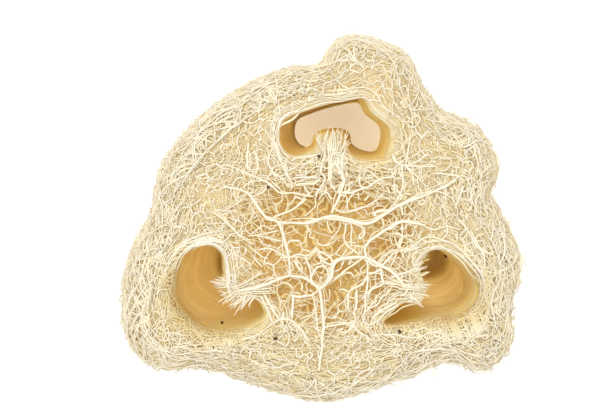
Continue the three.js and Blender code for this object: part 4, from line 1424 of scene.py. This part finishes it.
class LOOFAH_OT_stage(bpy.types.Operator):
    """Set the floor, the soft lights and the camera above the upper cut end"""
    bl_idname = "loofah.stage"
    bl_label = "Stage"

    # Lights over the floor in the two lobes of the open chamber
    FAR_LOBES = ((-6.8, 18.0, 7.0), (12.4, 19.4, 7.0))

    def execute(self, context):
        look = context.scene.loofah_stage
        self.floor(look)
        self.light("key_light", (-0.18, 0.3, 0.95), 0.9, look.key_power)
        self.light("fill_light", (0.45, -0.35, 0.75), 0.8, look.fill_power)
        for chamber in CHAMBERS:
            self.chamber_glow(chamber, look.chamber_power * chamber["glow"])
        for place in self.FAR_LOBES:
            self.glow("far_glow", Vector(place) * MM, look.chamber_power * 0.7)
        self.room(look)
        self.camera()
        return {"FINISHED"}

    @staticmethod
    def floor(look):
        half = look.floor_size / 2
        mesh = bpy.data.meshes.new("floor")
        corners = [(-half, -half, 0), (half, -half, 0), (half, half, 0), (-half, half, 0)]
        mesh.from_pydata(corners, [], [(0, 1, 2, 3)])
        nodes = Nodes("pale_floor")
        nodes.shader.inputs["Base Color"].default_value = (*look.floor_colour, 1.0)
        nodes.shader.inputs["Roughness"].default_value = 0.9
        nodes.shader.inputs["Emission Color"].default_value = (*look.floor_tint, 1.0)
        nodes.shader.inputs["Emission Strength"].default_value = look.floor_glow
        mesh.materials.append(nodes.material)
        floor = bpy.data.objects.new("floor", mesh)
        bpy.context.scene.collection.objects.link(floor)

    @staticmethod
    def light(name, place, size, power):
        data = bpy.data.lights.new(name, "AREA")
        data.shape = "DISK"
        data.size = size
        data.energy = power
        lamp = bpy.data.objects.new(name, data)
        lamp.location = place
        target = Vector((0, 0, LENGTH * MM))
        lamp.rotation_euler = (target - lamp.location).to_track_quat("-Z", "Y").to_euler()
        bpy.context.scene.collection.objects.link(lamp)

    def chamber_glow(self, chamber, power):
        """Soft lights down a chamber, for the light that seeps through the thin walls."""
        lowest = 0.3 if chamber["narrowing"] < 1 else 0.42
        for share in np.linspace(lowest, lowest + 0.4, 5):
            middle = chamber_loop(chamber, share * LENGTH, 48).mean(axis=0)
            middle = middle + np.array(chamber["points"]) * 2.5
            for shift in chamber["lamps"]:
                place = Vector((*(middle + np.array(shift)), share * LENGTH)) * MM
                self.glow("chamber_glow", place, power / len(chamber["lamps"]))

    @staticmethod
    def glow(name, place, power):
        data = bpy.data.lights.new(name, "POINT")
        data.shadow_soft_size = 0.004
        data.energy = power
        lamp = bpy.data.objects.new(name, data)
        lamp.location = place
        lamp.visible_camera = False
        bpy.context.scene.collection.objects.link(lamp)

    @staticmethod
    def room(look):
        world = bpy.data.worlds.get("room") or bpy.data.worlds.new("room")
        world.use_nodes = True
        background = world.node_tree.nodes["Background"]
        background.inputs["Color"].default_value = (1.0, 1.0, 1.0, 1.0)
        background.inputs["Strength"].default_value = look.world_light
        scene = bpy.context.scene
        scene.world = world
        scene.view_settings.view_transform = "Standard"
        scene.view_settings.look = "None"
        scene.cycles.diffuse_bounces = 10

    @staticmethod
    def camera():
        data = bpy.data.cameras.new("camera")
        distance = EYE_HEIGHT * LENGTH
        data.sensor_width = 36.0
        data.lens = data.sensor_width * distance / FRAME_WIDTH
        data.clip_start = 0.01
        camera = bpy.data.objects.new("camera", data)
        eye = Vector((*EYE, LENGTH + distance)) * MM
        ahead = (Vector((*AIM, LENGTH)) * MM - eye).normalized()
        right = ahead.cross(Vector((0, 1, 0))).normalized()
        above = right.cross(ahead)
        camera.matrix_world = Matrix.Translation(eye) @ Matrix((right, above, -ahead)).transposed().to_4x4()
        bpy.context.scene.collection.objects.link(camera)
        bpy.context.scene.camera = camera


class LOOFAH_PT_panel(bpy.types.Panel):
    """Sizes, colours and building steps of the loofah sponge"""
    bl_idname = "LOOFAH_PT_panel"
    bl_label = "Loofah Sponge"
    bl_space_type = "VIEW_3D"
    bl_region_type = "UI"
    bl_category = "Loofah"

    def draw(self, context):
        layout = self.layout
        for title, group in (("Fibres", context.scene.loofah), ("Stage", context.scene.loofah_stage)):
            box = layout.box()
            box.label(text=title)
            for name in group.__annotations__:
                box.prop(group, name)
        for operator in OPERATORS:
            layout.operator(operator.bl_idname)


OPERATORS = (
    LOOFAH_OT_mat, LOOFAH_OT_outer_net, LOOFAH_OT_band, LOOFAH_OT_core_net, LOOFAH_OT_veins, LOOFAH_OT_rims,
    LOOFAH_OT_fringes, LOOFAH_OT_base_net, LOOFAH_OT_loose_fibres, LOOFAH_OT_flecks, LOOFAH_OT_stage,
)
CLASSES = (LoofahSettings, LoofahStageSettings, *OPERATORS, LOOFAH_PT_panel)


def register():
    for item in CLASSES:
        bpy.utils.register_class(item)
    bpy.types.Scene.loofah = bpy.props.PointerProperty(type=LoofahSettings)
    bpy.types.Scene.loofah_stage = bpy.props.PointerProperty(type=LoofahStageSettings)


def unregister():
    del bpy.types.Scene.loofah_stage
    del bpy.types.Scene.loofah
    for item in reversed(CLASSES):
        bpy.utils.unregister_class(item)


def main():
    register()
    bpy.ops.loofah.mat()
    bpy.ops.loofah.outer_net()
    bpy.ops.loofah.band()
    bpy.ops.loofah.core_net()
    bpy.ops.loofah.veins()
    bpy.ops.loofah.rims()
    bpy.ops.loofah.fringes()
    bpy.ops.loofah.base_net()
    bpy.ops.loofah.loose_fibres()
    bpy.ops.loofah.flecks()
    bpy.ops.loofah.stage()


if __name__ == "__main__":
    main()
